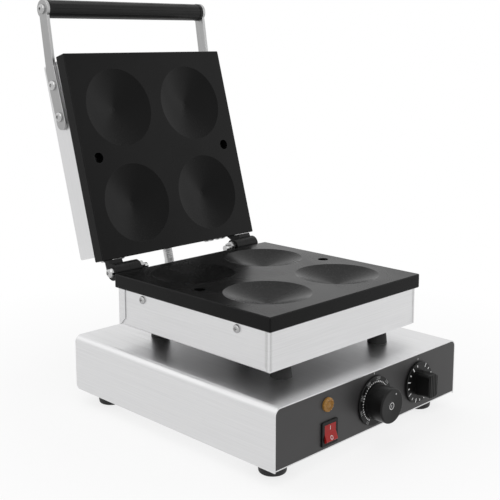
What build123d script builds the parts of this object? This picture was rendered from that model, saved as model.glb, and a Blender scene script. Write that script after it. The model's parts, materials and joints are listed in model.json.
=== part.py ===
from build123d import *
import os
from math import acos, atan2, cos, degrees, hypot, radians, sin, tan

os.makedirs("parts", exist_ok=True)

# Pancake maker with a hinged lid, in millimetres. X runs left to right, Y from front to back and Z up.
# The lid stands open against its stop. The origin is on the floor, in the middle of the open outline.
# Y sizes are distances behind the front face of the base.

# Base casing
base_width = 305.0
base_depth = 326.0
base_height = 65.0
base_sheet = 1.2
base_bend = 8.0
base_lip = 14.0
base_lip_setback = 8.0
base_rear_corner = 6.0
sheet_gap = 0.2
panel_sheet = 2.0
panel_flange = 14.0
flange_screw_x = 50.0
vent_length = 34.0
vent_width = 3.2
vent_pitch = 8.0
vent_count = 6
vent_group_x = 62.0

# Feet
foot_height = 16.5
foot_top_radius = 16.0
foot_bottom_radius = 14.2
foot_collar_radius = 13.5
foot_edge = 2.5
foot_side_inset = 28.5
foot_end_inset = 30.0
foot_recess_radius = 5.5
foot_recess_depth = 8.0

# Screws, nuts and their clearances
small_shank_radius = 2.0
small_head_radius = 3.8
small_head_height = 2.2
small_screw_length = 9.0
head_rounding = 0.9
cross_slot = 0.9
hole_gap = 0.15
shank_tip = 1.0
shaft_gap = 0.05
dome_radius = 6.0
dome_height = 3.6
dome_socket_radius = 2.2
dome_socket_depth = 1.8

# Stand-offs that carry the lower housing, and the wiring sleeve between them
standoff_height = 18.5
standoff_top_radius = 9.5
standoff_bottom_radius = 11.5
standoff_x = 81.0
standoff_front_y = 59.0
standoff_rear_y = 254.0
standoff_shank_radius = 3.0
standoff_head_radius = 5.5
standoff_head_height = 3.4
standoff_nut_height = 5.0
sleeve_radius = 8.0
sleeve_bore_radius = 5.5
sleeve_y = 200.0

# Lower housing and lid housing
housing_half_width = 122.8
housing_front_y = 37.0
housing_rear_y = 276.0
housing_sheet = 1.0
housing_bend = 2.0
lower_housing_height = 43.0
lid_housing_height = 33.0
housing_lip = 8.0
back_wrap = 10.0
back_corner_cut = 9.0

# Mould plates with conical dishes
plate_overhang = 2.2
plate_front_y = 33.0
plate_rear_y = 283.0
plate_thickness = 16.0
plate_corner = 1.5
plate_edge = 0.8
dish_radius = 48.5
dish_depth = 13.0
dish_bow = 1.3
dish_tip_radius = 2.5
dish_x = 57.8
dish_front_y = 101.5
dish_rear_y = 220.5
plate_seam_gap = 0.5
fixing_x = 102.3
fixing_y = 161.0
fixing_hole_radius = 6.5
fixing_hole_depth = 10.5
fixing_head_radius = 5.0
fixing_head_height = 5.0
fixing_shank_radius = 3.0
fixing_shank_length = 18.0
fixing_socket_radius = 2.9
fixing_socket_depth = 2.6
pillar_radius = 6.5
lug_length = 14.0
lug_width = 10.0
lug_drop = 12.0

# Screws in the sides of the lower housing
side_screw_front_y = 82.0
side_screw_rear_y = 234.5
side_screw_drop = 6.2
side_head_radius = 4.6
side_head_height = 2.8
side_shank_radius = 2.0
side_screw_length = 9.0

# Heating elements, clamps and insulation
element_radius = 4.0
element_gap = 0.1
element_bend = 20.0
element_outer_x = 90.0
element_inner_x = 33.0
element_front_y = 58.0
element_rear_y = 262.0
element_turn_y = 238.0
element_pin_radius = 1.5
element_pin_length = 8.0
clamp_half_width = 97.0
clamp_depth = 16.0
clamp_thickness = 2.0
clamp_front_y = 84.0
clamp_rear_y = 222.0
clamp_screw_radius = 2.5
clamp_screw_bite = 8.0
clamp_head_radius = 4.5
clamp_head_height = 3.0
insulation_half_width = 93.0
insulation_front_y = 46.0
insulation_rear_y = 264.0
insulation_hole_radius = 9.0
insulation_gap = 0.3
lower_insulation_height = 22.0
lid_insulation_height = 12.0

# Hinges
hinge_y = 298.0
hinge_height = 75.0
open_angle = 105.9
barrel_radius = 10.0
knuckle_inset = 42.8
knuckle_width = 17.0
upper_knuckle_width = 19.7
knuckle_gap = 0.3
hinge_bolt_radius = 4.0
hinge_bore_gap = 0.08
hinge_dome_radius = 6.0
hinge_dome_height = 7.0
hinge_nut_height = 7.5
hinge_nut_flats = 13.0
hinge_thread_tip = 7.0
leaf_thickness = 4.5
leaf_setback = 3.0
leaf_height = 28.0
leaf_width = 34.0
leaf_overlap = 5.0
leaf_corner = 3.0
leaf_neck = 4.0
leaf_slope_rise = 12.0
neck_gap = 0.3
neck_depth = 8.0
strap_width = 10.7
strap_thickness = 6.0
strap_foot = 6.0
stop_gap = 0.4
stop_reach = 20.5
stop_height = 3.5
stop_width = 6.0
stop_root_angle = 30.0
leaf_screw_radius = 2.5
leaf_screw_inset = 7.0
leaf_screw_drop = 11.5
leaf_head_radius = 4.5
leaf_head_height = 3.0
leaf_screw_length = 12.0

# Handle
arm_thickness = 4.0
arm_edge = 0.4
arm_gap = 0.2
arm_width = 18.0
arm_upper_width = 16.0
arm_eye_radius = 11.4
arm_end_y = 110.6
arm_bend_y = 45.0
arm_bolt_rear_y = 103.5
arm_bolt_front_y = 64.5
arm_rear_rise = 12.3
arm_front_rise = 13.6
arm_bolt_radius = 3.0
arm_bolt_length = 16.0
arm_nut_flats = 10.0
arm_nut_height = 5.0
grip_forward = 325.3
grip_rise = 24.6
grip_radius = 11.0
grip_collar_radius = 11.4
grip_collar_width = 4.0
grip_groove_count = 14
grip_groove_radius = 0.7
rod_radius = 5.0

# Flexible conduit between the lower housing and the lid
conduit_radius = 6.0
conduit_valley_radius = 5.4
conduit_bore_radius = 4.4
conduit_rib_count = 36
conduit_lid_rise = 36.0
conduit_straight = 12.0
conduit_outward_turn = 30.0
conduit_outward_radius = 22.0
conduit_return_radius = 20.0
fitting_length = 5.0
fitting_radius = 8.2
fitting_flats = 17.0
fitting_inner_radius = 6.5
fitting_inner_length = 8.0

# Controls, with heights above the bottom of the base
control_height = 32.4
control_head_height = 0.8
control_screw_x = 14.0
knob_gap = 0.3
bushing_radius = 4.6
shaft_radius = 3.0
shaft_seat_depth = 10.0
shaft_length_in_knob = 14.0
body_corner = 3.0
dial_edge = 0.6
thermostat_x = 0.0
thermostat_dial_radius = 27.0
thermostat_dial_thickness = 1.6
thermostat_barrel_radius = 19.0
thermostat_face_radius = 16.5
thermostat_reach = 24.5
thermostat_dish_depth = 0.9
thermostat_rim_round = 1.6
thermostat_body_width = 38.0
thermostat_body_height = 42.0
thermostat_body_depth = 32.0
timer_x = 79.0
timer_dial_radius = 23.7
timer_dial_thickness = 2.2
timer_reach = 22.0
timer_grip_width = 16.0
timer_grip_height = 26.5
timer_grip_corner = 4.0
timer_grip_edge = 1.4
timer_groove_count = 5
timer_groove_width = 1.0
timer_groove_depth = 0.8
timer_body_width = 44.0
timer_body_height = 44.0
timer_body_depth = 36.0
lamp_x = -76.0
lamp_height = 49.0
lamp_lens_radius = 7.5
lamp_lens_reach = 3.2
lamp_lens_edge = 1.2
lamp_barrel_radius = 5.0
lamp_barrel_length = 20.0
lamp_nut_flats = 13.0
lamp_nut_height = 4.0
lamp_flute_count = 18
lamp_flute_radius = 0.5
rocker_x = -73.0
rocker_height = 18.5
bezel_width = 24.5
bezel_height = 26.0
bezel_thickness = 2.0
bezel_corner = 1.5
bezel_edge = 0.7
rocker_width = 17.0
rocker_radius = 10.4
rocker_face_rise = 12.5
rocker_pivot_depth = 2.5
rocker_dip = 4.5
rocker_tilt = 11.0
rocker_gap = 0.3
rocker_pin_radius = 1.4
rocker_pin_length = 0.8
rocker_body_width = 20.4
rocker_body_height = 23.4
rocker_body_depth = 26.0
tab_width = 5.0
tab_thickness = 0.8
tab_length = 8.0

# Sensor, terminals and cable gland
bulb_radius = 3.0
bulb_front_y = 108.0
bulb_length = 70.0
capillary_radius = 0.8
capillary_bend = 8.0
capillary_height = 42.0
terminal_x = -60.0
terminal_y = 250.0
terminal_width = 56.0
terminal_depth = 20.0
terminal_height = 17.0
terminal_count = 5
terminal_bore_radius = 2.0
gland_inset = 47.5
gland_height = 24.0
gland_radius = 9.0
gland_round = 2.5
gland_flats = 20.0
gland_hex_height = 5.0
gland_length = 16.0
gland_bore_radius = 4.0
gland_thread_radius = 7.5
gland_thread_length = 10.0
gland_nut_height = 5.0

# Places worked out from the sizes
open_cos = cos(radians(open_angle))
open_sin = sin(radians(open_angle))
base_z = foot_height
base_top = base_z + base_height
gland_x = base_width / 2 - gland_inset
plate_floor_z = base_z + base_sheet
inner_floor_z = plate_floor_z + base_sheet
housing_z = base_top + standoff_height
lower_plate_z = housing_z + lower_housing_height
seam_z = lower_plate_z + plate_thickness
lid_face_z = seam_z + plate_seam_gap
lid_back_z = lid_face_z + plate_thickness
lid_top_z = lid_back_z + lid_housing_height
hinge_z = base_top + hinge_height
plate_half_width = housing_half_width + plate_overhang
knuckle_inner_x = housing_half_width - knuckle_inset
grip_reach = -grip_forward * open_cos + grip_rise * open_sin + arm_eye_radius
shell_reach = (housing_front_y - hinge_y) * open_cos + (lid_top_z - hinge_z) * open_sin
front_y = -(hinge_y + max(grip_reach, shell_reach) - thermostat_reach) / 2


def depth(distance):
    """Y coordinate at a distance behind the front face of the base."""
    return front_y + distance


def turned_open(y, z):
    """Point of the closed lid, given in Y and Z, where the open lid holds it."""
    dy = y - depth(hinge_y)
    dz = z - hinge_z
    return Vector(0, depth(hinge_y) + dy * open_cos + dz * open_sin, hinge_z - dy * open_sin + dz * open_cos)


def level(frame, height):
    """Plane parallel to the frame's floor, at a height."""
    return frame.offset(height)


def side_view(frame, x):
    """Upright plane at x whose own axes are the frame's Y and Z."""
    return Plane(origin=frame.from_local_coords(Vector(x, 0, 0)), x_dir=frame.y_dir, z_dir=frame.x_dir)


def front_view(frame, y):
    """Upright plane at y whose own axes are the frame's X and Z, facing the front."""
    return Plane(origin=frame.from_local_coords(Vector(0, y, 0)), x_dir=frame.x_dir, z_dir=-frame.y_dir)


world = Plane.XY
standing = (Align.CENTER, Align.CENTER, Align.MIN)
open_lid = Plane(origin=turned_open(0, 0), x_dir=(1, 0, 0), z_dir=(0, open_sin, open_cos))
lower_face = Plane(origin=(0, 0, seam_z), x_dir=(-1, 0, 0), z_dir=(0, 0, -1))
lid_face = open_lid.offset(lid_face_z)
mid_y = depth(base_depth / 2)
housing_mid_y = depth((housing_front_y + housing_rear_y) / 2)
housing_depth = housing_rear_y - housing_front_y
plate_mid_y = depth((plate_front_y + plate_rear_y) / 2)
foot_x = base_width / 2 - foot_side_inset
foot_ys = [depth(foot_end_inset), depth(base_depth - foot_end_inset)]
foot_places = [(x, y) for x in (-foot_x, foot_x) for y in foot_ys]
standoff_ys = [depth(standoff_front_y), depth(standoff_rear_y)]
standoff_places = [(x, y) for x in (-standoff_x, standoff_x) for y in standoff_ys]
lip_screw_x = base_width / 2 - base_lip / 2
lip_screw_ys = [depth(base_lip_setback + base_lip), mid_y, depth(base_depth - base_lip_setback - base_lip)]
lip_screw_places = [(x, y) for x in (-lip_screw_x, lip_screw_x) for y in lip_screw_ys]
panel_screw_places = [(x, depth(panel_sheet + panel_flange / 2)) for x in (-flange_screw_x, flange_screw_x)]
rear_screw_places = [(x, depth(base_depth - panel_flange / 2)) for x in (-flange_screw_x, flange_screw_x)]
panel_half_width = base_width / 2 - base_sheet - sheet_gap
panel_top_z = base_top - base_sheet - sheet_gap
panel_corner = base_bend - base_sheet - sheet_gap
wall_y = depth(housing_rear_y + housing_sheet) + sheet_gap
leaf_outer_y = wall_y + leaf_thickness
axis_y = depth(hinge_y)


def fastener(shank_radius, length, head_radius, head_height, socket_radius=0.0, socket_depth=0.0):
    """Screw or bolt: its head rises from the seat at Z 0 with a rounded rim, and its shank goes down."""
    with BuildPart() as bolt:
        Cylinder(head_radius, head_height, align=standing)
        fillet(bolt.edges().group_by(Axis.Z)[-1], min(head_height, head_radius) * head_rounding)
        Cylinder(shank_radius, length, align=(Align.CENTER, Align.CENTER, Align.MAX))
        if socket_radius > 0:
            with BuildSketch(Plane.XY.offset(head_height)):
                RegularPolygon(socket_radius, 6)
            extrude(amount=-socket_depth, mode=Mode.SUBTRACT)
    return bolt.part


def pan_screw(shank_radius, length, head_radius, head_height):
    """Screw with a rounded head and a cross recess, seated at Z 0."""
    with BuildPart() as screw:
        add(fastener(shank_radius, length, head_radius, head_height))
        with BuildSketch(Plane.XY.offset(head_height)):
            Rectangle(head_radius, cross_slot)
            Rectangle(cross_slot, head_radius)
        extrude(amount=-head_height / 2, mode=Mode.SUBTRACT)
    return screw.part


def hex_nut(flats, height, bore_radius):
    """Hexagon nut that stands on Z 0."""
    with BuildPart() as nut:
        with BuildSketch():
            RegularPolygon(flats / 2, 6, major_radius=False)
            Circle(bore_radius, mode=Mode.SUBTRACT)
        extrude(amount=height)
    return nut.part


# Base shell: an arch of sheet, open below and at both ends, with a lip along the foot of each side
with BuildPart() as base_shell:
    with BuildSketch(level(world, base_z)):
        with Locations((0, mid_y)):
            Rectangle(base_width, base_depth)
    extrude(amount=base_height)
    fillet(base_shell.edges().filter_by(Axis.Y).group_by(Axis.Z)[-1], base_bend)
    open_faces = base_shell.faces().filter_by(Axis.Y) + [base_shell.faces().sort_by(Axis.Z)[0]]
    offset(amount=-base_sheet, openings=open_faces)
    fillet(base_shell.edges().filter_by(Axis.X).group_by(Axis.Z)[0].group_by(Axis.Y)[-1], base_rear_corner)
    with BuildSketch(level(world, base_z)):
        with Locations((-lip_screw_x, mid_y), (lip_screw_x, mid_y)):
            Rectangle(base_lip, base_depth - 2 * base_lip_setback)
        with Locations(lip_screw_places):
            Circle(small_shank_radius + hole_gap, mode=Mode.SUBTRACT)
    extrude(amount=base_sheet)
    with BuildSketch(level(world, base_top)):
        with Locations(standoff_places):
            Circle(standoff_shank_radius + hole_gap)
        with Locations((0, depth(sleeve_y))):
            Circle(sleeve_bore_radius)
    extrude(amount=-2 * base_sheet, mode=Mode.SUBTRACT)
base_shell.part.label = "base_shell"
export_step(base_shell.part, "parts/base_shell.step")

# Bottom plate: lies on the lips of the shell and shows as a thin line below the panel
with BuildPart() as base_bottom_plate:
    with BuildSketch(level(world, plate_floor_z)):
        with Locations((0, mid_y)):
            Rectangle(2 * panel_half_width, base_depth)
        with Locations(foot_places + lip_screw_places + panel_screw_places + rear_screw_places):
            Circle(small_shank_radius + hole_gap, mode=Mode.SUBTRACT)
        with Locations((-vent_group_x, mid_y), (vent_group_x, mid_y)):
            with GridLocations(vent_pitch, 1, vent_count, 1):
                SlotOverall(vent_length, vent_width, rotation=90, mode=Mode.SUBTRACT)
    extrude(amount=base_sheet)
    fillet(base_bottom_plate.edges().filter_by(Axis.Z).group_by(Axis.Y)[-1], base_rear_corner)
base_bottom_plate.part.label = "base_bottom_plate"
export_step(base_bottom_plate.part, "parts/base_bottom_plate.step")

# Rear panel: sheet inside the arch, with vents and the hole for the cable gland
with BuildPart() as base_rear_panel:
    with BuildSketch(level(world, inner_floor_z)):
        with Locations((0, depth(base_depth - base_sheet / 2))):
            Rectangle(2 * panel_half_width, base_sheet)
    extrude(amount=panel_top_z - inner_floor_z)
    fillet(base_rear_panel.edges().filter_by(Axis.Y).group_by(Axis.Z)[-1], panel_corner)
    with BuildSketch(level(world, inner_floor_z)):
        with Locations((0, depth(base_depth - panel_flange / 2))):
            Rectangle(3 * flange_screw_x, panel_flange)
        with Locations(rear_screw_places):
            Circle(small_shank_radius + hole_gap, mode=Mode.SUBTRACT)
    extrude(amount=base_sheet)
    with BuildSketch(front_view(world, depth(base_depth))):
        with Locations((0, base_z + base_height / 2), (vent_group_x, base_z + base_height / 2)):
            with GridLocations(vent_pitch, 1, vent_count, 1):
                SlotOverall(vent_length, vent_width, rotation=90)
        with Locations((gland_x, base_z + gland_height)):
            Circle(gland_thread_radius + hole_gap)
    extrude(amount=base_sheet, mode=Mode.SUBTRACT)
base_rear_panel.part.label = "base_rear_panel"
export_step(base_rear_panel.part, "parts/base_rear_panel.step")

# Control panel: black sheet inside the arch, flush with its front edge
control_z = base_z + control_height
lamp_z = base_z + lamp_height
rocker_z = base_z + rocker_height
shaft_places = [(thermostat_x, control_z), (timer_x, control_z)]
control_screw_places = [(x + side * control_screw_x, z) for x, z in shaft_places for side in (-1, 1)]
with BuildPart() as control_panel:
    with BuildSketch(level(world, inner_floor_z)):
        with Locations((0, depth(panel_sheet / 2))):
            Rectangle(2 * panel_half_width, panel_sheet)
    extrude(amount=panel_top_z - inner_floor_z)
    fillet(control_panel.edges().filter_by(Axis.Y).group_by(Axis.Z)[-1], panel_corner)
    with BuildSketch(level(world, inner_floor_z)):
        with Locations((0, depth(panel_sheet + panel_flange / 2))):
            Rectangle(3 * flange_screw_x, panel_flange)
        with Locations(panel_screw_places):
            Circle(small_shank_radius + hole_gap, mode=Mode.SUBTRACT)
    extrude(amount=base_sheet)
    with BuildSketch(front_view(world, depth(0))):
        with Locations(shaft_places):
            Circle(bushing_radius + hole_gap)
        with Locations(control_screw_places):
            Circle(small_shank_radius + hole_gap)
        with Locations((lamp_x, lamp_z)):
            Circle(lamp_barrel_radius + hole_gap)
        with Locations((rocker_x, rocker_z)):
            Rectangle(rocker_body_width + 2 * sheet_gap, rocker_body_height + 2 * sheet_gap)
    extrude(amount=-panel_sheet, mode=Mode.SUBTRACT)
control_panel.part.label = "control_panel"
export_step(control_panel.part, "parts/control_panel.step")

# Case screws: driven up through the lips and through the bottom plate into the flanges
case_screw = pan_screw(small_shank_radius, small_screw_length, small_head_radius, small_head_height)
lip_seats = [Plane((x, y, base_z), x_dir=(1, 0, 0), z_dir=(0, 0, -1)) for x, y in lip_screw_places]
flange_places = panel_screw_places + rear_screw_places
flange_seats = [Plane((x, y, plate_floor_z), x_dir=(1, 0, 0), z_dir=(0, 0, -1)) for x, y in flange_places]
with BuildPart() as base_screws:
    with Locations(lip_seats + flange_seats):
        add(case_screw)
base_screws.part.label = "base_screws"
export_step(base_screws.part, "parts/base_screws.step")

# Feet: tapered rubber with a recess for the screw head
foot_seats = [Plane((x, y, 0), x_dir=(1, 0, 0), z_dir=(0, 0, 1)) for x, y in foot_places]
with BuildPart() as base_feet:
    with Locations(foot_seats):
        Cone(foot_bottom_radius, foot_top_radius, base_z - sheet_gap, align=standing)
    fillet(base_feet.edges().group_by(Axis.Z)[0], foot_edge)
    with BuildSketch(level(world, base_z - sheet_gap)):
        with Locations(foot_places):
            Circle(foot_collar_radius)
    extrude(amount=base_sheet + sheet_gap)
    with BuildSketch(level(world, 0)):
        with Locations(foot_places):
            Circle(foot_recess_radius)
    extrude(amount=foot_recess_depth, mode=Mode.SUBTRACT)
    with BuildSketch(level(world, 0)):
        with Locations(foot_places):
            Circle(small_shank_radius + hole_gap)
    extrude(amount=plate_floor_z, mode=Mode.SUBTRACT)
base_feet.part.label = "base_feet"
export_step(base_feet.part, "parts/base_feet.step")

# Foot screws: from the recess up through the bottom plate
foot_screw_length = plate_floor_z - foot_recess_depth + small_screw_length / 2
foot_screw = pan_screw(small_shank_radius, foot_screw_length, small_head_radius, small_head_height)
foot_screw_seats = [Plane((x, y, foot_recess_depth), z_dir=(0, 0, -1)) for x, y in foot_places]
with BuildPart() as base_feet_screws:
    with Locations(foot_screw_seats):
        add(foot_screw)
base_feet_screws.part.label = "base_feet_screws"
export_step(base_feet_screws.part, "parts/base_feet_screws.step")

# Rocker switch body: bezel on the panel, and a box behind it with a round pocket for the rocker
pivot_y = depth(rocker_pivot_depth)
with BuildPart() as rocker_switch_body:
    with BuildSketch(front_view(world, depth(0))):
        with Locations((rocker_x, rocker_z)):
            RectangleRounded(bezel_width, bezel_height, bezel_corner)
    extrude(amount=bezel_thickness)
    fillet(rocker_switch_body.edges().group_by(Axis.Y)[0], bezel_edge)
    with BuildSketch(front_view(world, depth(0))):
        with Locations((rocker_x, rocker_z)):
            Rectangle(rocker_body_width, rocker_body_height)
    extrude(amount=-rocker_body_depth)
    with BuildSketch(side_view(world, rocker_x)):
        with Locations((pivot_y, rocker_z)):
            Circle(rocker_radius + rocker_gap)
    extrude(amount=rocker_width / 2 + rocker_gap, both=True, mode=Mode.SUBTRACT)
    with BuildSketch(side_view(world, rocker_x)):
        with Locations((pivot_y, rocker_z)):
            Circle(rocker_pin_radius + hole_gap)
    extrude(amount=rocker_width / 2 + rocker_pin_length + rocker_gap, both=True, mode=Mode.SUBTRACT)
    with BuildSketch(front_view(world, depth(rocker_body_depth))):
        with Locations((rocker_x, rocker_z)):
            with GridLocations(1, rocker_body_height / 3, 1, 3):
                Rectangle(tab_width, tab_thickness)
    extrude(amount=-tab_length)
rocker_switch_body.part.label = "rocker_switch_body"
export_step(rocker_switch_body.part, "parts/rocker_switch_body.step")

# Rocker: round at its ends, with a shallow V face; its lower half stands out at rest
face_reach = rocker_dip + rocker_face_rise * tan(radians(rocker_tilt))
with BuildPart() as rocker:
    with BuildSketch(side_view(world, rocker_x)):
        with Locations((pivot_y, rocker_z)):
            Circle(rocker_radius)
            Polygon(
                (-rocker_dip, 0),
                (-face_reach, -rocker_face_rise),
                (rocker_dip, -rocker_face_rise),
                (rocker_dip, rocker_face_rise),
                (-face_reach, rocker_face_rise),
                rotation=-rocker_tilt,
                align=None,
                mode=Mode.INTERSECT,
            )
    extrude(amount=rocker_width / 2, both=True)
    with BuildSketch(side_view(world, rocker_x)):
        with Locations((pivot_y, rocker_z)):
            Circle(rocker_pin_radius)
    extrude(amount=rocker_width / 2 + rocker_pin_length, both=True)
rocker.part.label = "rocker"
export_step(rocker.part, "parts/rocker.step")

# Pilot lamp lens: a low dome with flutes round its rim
lamp_plane = front_view(world, depth(0))
with BuildPart() as pilot_lamp_lens:
    with BuildSketch(lamp_plane):
        with Locations((lamp_x, lamp_z)):
            Circle(lamp_lens_radius)
    extrude(amount=lamp_lens_reach)
    fillet(pilot_lamp_lens.edges().group_by(Axis.Y)[0], lamp_lens_edge)
    with BuildSketch(lamp_plane):
        with Locations((lamp_x, lamp_z)):
            with PolarLocations(lamp_lens_radius, lamp_flute_count):
                Circle(lamp_flute_radius)
    extrude(amount=lamp_lens_reach, mode=Mode.SUBTRACT)
pilot_lamp_lens.part.label = "pilot_lamp_lens"
export_step(pilot_lamp_lens.part, "parts/pilot_lamp_lens.step")

# Pilot lamp body: barrel through the panel, a nut behind it and two tabs
with BuildPart() as pilot_lamp_body:
    with BuildSketch(lamp_plane):
        with Locations((lamp_x, lamp_z)):
            Circle(lamp_barrel_radius)
    extrude(amount=-lamp_barrel_length)
    with BuildSketch(lamp_plane.offset(-panel_sheet)):
        with Locations((lamp_x, lamp_z)):
            RegularPolygon(lamp_nut_flats / 2, 6, major_radius=False)
    extrude(amount=-lamp_nut_height)
    with BuildSketch(lamp_plane.offset(-lamp_barrel_length)):
        with Locations((lamp_x, lamp_z)):
            with GridLocations(lamp_barrel_radius, 1, 2, 1):
                Rectangle(tab_thickness, tab_width)
    extrude(amount=-tab_length)
pilot_lamp_body.part.label = "pilot_lamp_body"
export_step(pilot_lamp_body.part, "parts/pilot_lamp_body.step")

# Thermostat and timer bodies: boxes behind the panel with a bushing through it
control_bodies = {
    "thermostat": (thermostat_x, thermostat_body_width, thermostat_body_height, thermostat_body_depth),
    "timer": (timer_x, timer_body_width, timer_body_height, timer_body_depth),
}
control_back = front_view(world, depth(panel_sheet + sheet_gap))
for name, (control_x, body_width, body_height, body_depth) in control_bodies.items():
    with BuildPart() as control_body:
        with BuildSketch(control_back):
            with Locations((control_x, control_z)):
                RectangleRounded(body_width, body_height, body_corner)
        extrude(amount=-body_depth)
        with BuildSketch(control_back):
            with Locations((control_x, control_z)):
                Circle(bushing_radius)
        extrude(amount=panel_sheet)
        with BuildSketch(control_back.offset(panel_sheet)):
            with Locations((control_x, control_z)):
                Circle(shaft_radius + shaft_gap)
        extrude(amount=-panel_sheet - shaft_seat_depth, mode=Mode.SUBTRACT)
        with BuildSketch(control_back):
            with Locations((control_x, control_z)):
                with GridLocations(2 * control_screw_x, 1, 2, 1):
                    Circle(small_shank_radius + hole_gap)
        extrude(amount=-small_screw_length, mode=Mode.SUBTRACT)
        with BuildSketch(control_back.offset(-body_depth)):
            with Locations((control_x, control_z - body_height / 4)):
                with GridLocations(body_width / 3, 1, 3, 1):
                    Rectangle(tab_thickness, tab_width)
        extrude(amount=-tab_length)
    control_body.part.label = f"{name}_body"
    export_step(control_body.part, f"parts/{name}_body.step")

# Shafts: turn with the knobs
for name, (control_x, body_width, body_height, body_depth) in control_bodies.items():
    with BuildPart() as control_shaft:
        with BuildSketch(control_back.offset(-shaft_seat_depth + sheet_gap)):
            with Locations((control_x, control_z)):
                Circle(shaft_radius)
        extrude(amount=shaft_seat_depth + panel_sheet + knob_gap + shaft_length_in_knob)
    control_shaft.part.label = f"{name}_shaft"
    export_step(control_shaft.part, f"parts/{name}_shaft.step")

# Control screws: through the panel into the two bodies, hidden behind the dials
control_screw_length = small_screw_length - sheet_gap
control_screw = fastener(small_shank_radius, control_screw_length, small_head_radius, control_head_height)
with BuildPart() as control_screws:
    with Locations([front_view(world, depth(0)) * Pos(x, z) for x, z in control_screw_places]):
        add(control_screw)
control_screws.part.label = "control_screws"
export_step(control_screws.part, "parts/control_screws.step")

# Thermostat knob: a dial disc behind a thick barrel with a slightly hollow face
dial_plane = front_view(world, depth(-knob_gap - control_head_height))
with BuildPart() as thermostat_knob:
    with BuildSketch(dial_plane):
        with Locations((thermostat_x, control_z)):
            Circle(thermostat_dial_radius)
    extrude(amount=thermostat_dial_thickness)
    fillet(thermostat_knob.edges().group_by(Axis.Y)[0], dial_edge)
    with BuildSketch(dial_plane):
        with Locations((thermostat_x, control_z)):
            Circle(thermostat_barrel_radius)
    extrude(amount=thermostat_reach - knob_gap - control_head_height)
    fillet(thermostat_knob.edges().group_by(Axis.Y)[0], thermostat_rim_round)
    with BuildSketch(side_view(world, thermostat_x)):
        with Locations((depth(-thermostat_reach), control_z)):
            Polygon((0, 0), (0, thermostat_face_radius), (thermostat_dish_depth, 0), align=None)
    revolve(axis=Axis((thermostat_x, 0, control_z), (0, 1, 0)), mode=Mode.SUBTRACT)
    with BuildSketch(dial_plane):
        with Locations((thermostat_x, control_z)):
            Circle(shaft_radius + shaft_gap)
    extrude(amount=shaft_length_in_knob, mode=Mode.SUBTRACT)
thermostat_knob.part.label = "thermostat_knob"
export_step(thermostat_knob.part, "parts/thermostat_knob.step")

# Timer knob: a bevelled dial disc with a ribbed upright grip
with BuildPart() as timer_knob:
    with BuildSketch(dial_plane):
        with Locations((timer_x, control_z)):
            Circle(timer_dial_radius)
    extrude(amount=timer_dial_thickness)
    chamfer(timer_knob.edges().group_by(Axis.Y)[0], dial_edge)
    with BuildSketch(dial_plane):
        with Locations((timer_x, control_z)):
            RectangleRounded(timer_grip_width, timer_grip_height, timer_grip_corner)
    extrude(amount=timer_reach - knob_gap - control_head_height)
    fillet(timer_knob.edges().group_by(Axis.Y)[0], timer_grip_edge)
    with BuildSketch(front_view(world, depth(-timer_reach))):
        with Locations((timer_x, control_z)):
            with GridLocations(timer_grip_width / timer_groove_count, 1, timer_groove_count, 1):
                Rectangle(timer_groove_width, 2 * timer_grip_height)
    extrude(amount=-timer_groove_depth, mode=Mode.SUBTRACT)
    with BuildSketch(dial_plane):
        with Locations((timer_x, control_z)):
            Circle(shaft_radius + shaft_gap)
    extrude(amount=shaft_length_in_knob, mode=Mode.SUBTRACT)
timer_knob.part.label = "timer_knob"
export_step(timer_knob.part, "parts/timer_knob.step")

# Terminal block: stands on the bottom plate, with a row of wire holes
with BuildPart() as terminal_block:
    with BuildSketch(level(world, inner_floor_z)):
        with Locations((terminal_x, depth(terminal_y))):
            Rectangle(terminal_width, terminal_depth)
    extrude(amount=terminal_height)
    with BuildSketch(front_view(world, depth(terminal_y - terminal_depth / 2))):
        with Locations((terminal_x, inner_floor_z + terminal_height / 2)):
            with GridLocations(terminal_width / terminal_count, 1, terminal_count, 1):
                Circle(terminal_bore_radius)
    extrude(amount=-terminal_depth, mode=Mode.SUBTRACT)
terminal_block.part.label = "terminal_block"
export_step(terminal_block.part, "parts/terminal_block.step")

# Cable gland: a threaded sleeve through the rear panel with a hexagon and a domed cap outside
gland_plane = Plane((gland_x, depth(base_depth), base_z + gland_height), x_dir=(-1, 0, 0), z_dir=(0, 1, 0))
with BuildPart() as cable_gland:
    with BuildSketch(gland_plane):
        RegularPolygon(gland_flats / 2, 6, major_radius=False)
    extrude(amount=gland_hex_height)
    with BuildSketch(gland_plane.offset(gland_hex_height)):
        Circle(gland_radius)
    extrude(amount=gland_length - gland_hex_height)
    fillet(cable_gland.edges().group_by(Axis.Y)[-1], gland_round)
    with BuildSketch(gland_plane):
        Circle(gland_thread_radius)
    extrude(amount=-gland_thread_length)
    with BuildSketch(gland_plane.offset(gland_length)):
        Circle(gland_bore_radius)
    extrude(amount=-gland_length - gland_thread_length, mode=Mode.SUBTRACT)
cable_gland.part.label = "cable_gland"
export_step(cable_gland.part, "parts/cable_gland.step")

# Cable gland nut: inside the rear panel
with BuildPart() as cable_gland_nut:
    with Locations(gland_plane.offset(-base_sheet - gland_nut_height)):
        add(hex_nut(gland_flats, gland_nut_height, gland_thread_radius + shaft_gap))
cable_gland_nut.part.label = "cable_gland_nut"
export_step(cable_gland_nut.part, "parts/cable_gland_nut.step")

# Stand-offs: rubber cones between the base and the lower housing
standoff_seats = [Plane((x, y, base_top), x_dir=(1, 0, 0), z_dir=(0, 0, 1)) for x, y in standoff_places]
with BuildPart() as housing_standoffs:
    with Locations(standoff_seats):
        Cone(standoff_bottom_radius, standoff_top_radius, standoff_height, align=standing)
    with BuildSketch(level(world, base_top)):
        with Locations(standoff_places):
            Circle(standoff_shank_radius + hole_gap)
    extrude(amount=standoff_height, mode=Mode.SUBTRACT)
housing_standoffs.part.label = "housing_standoffs"
export_step(housing_standoffs.part, "parts/housing_standoffs.step")

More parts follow.
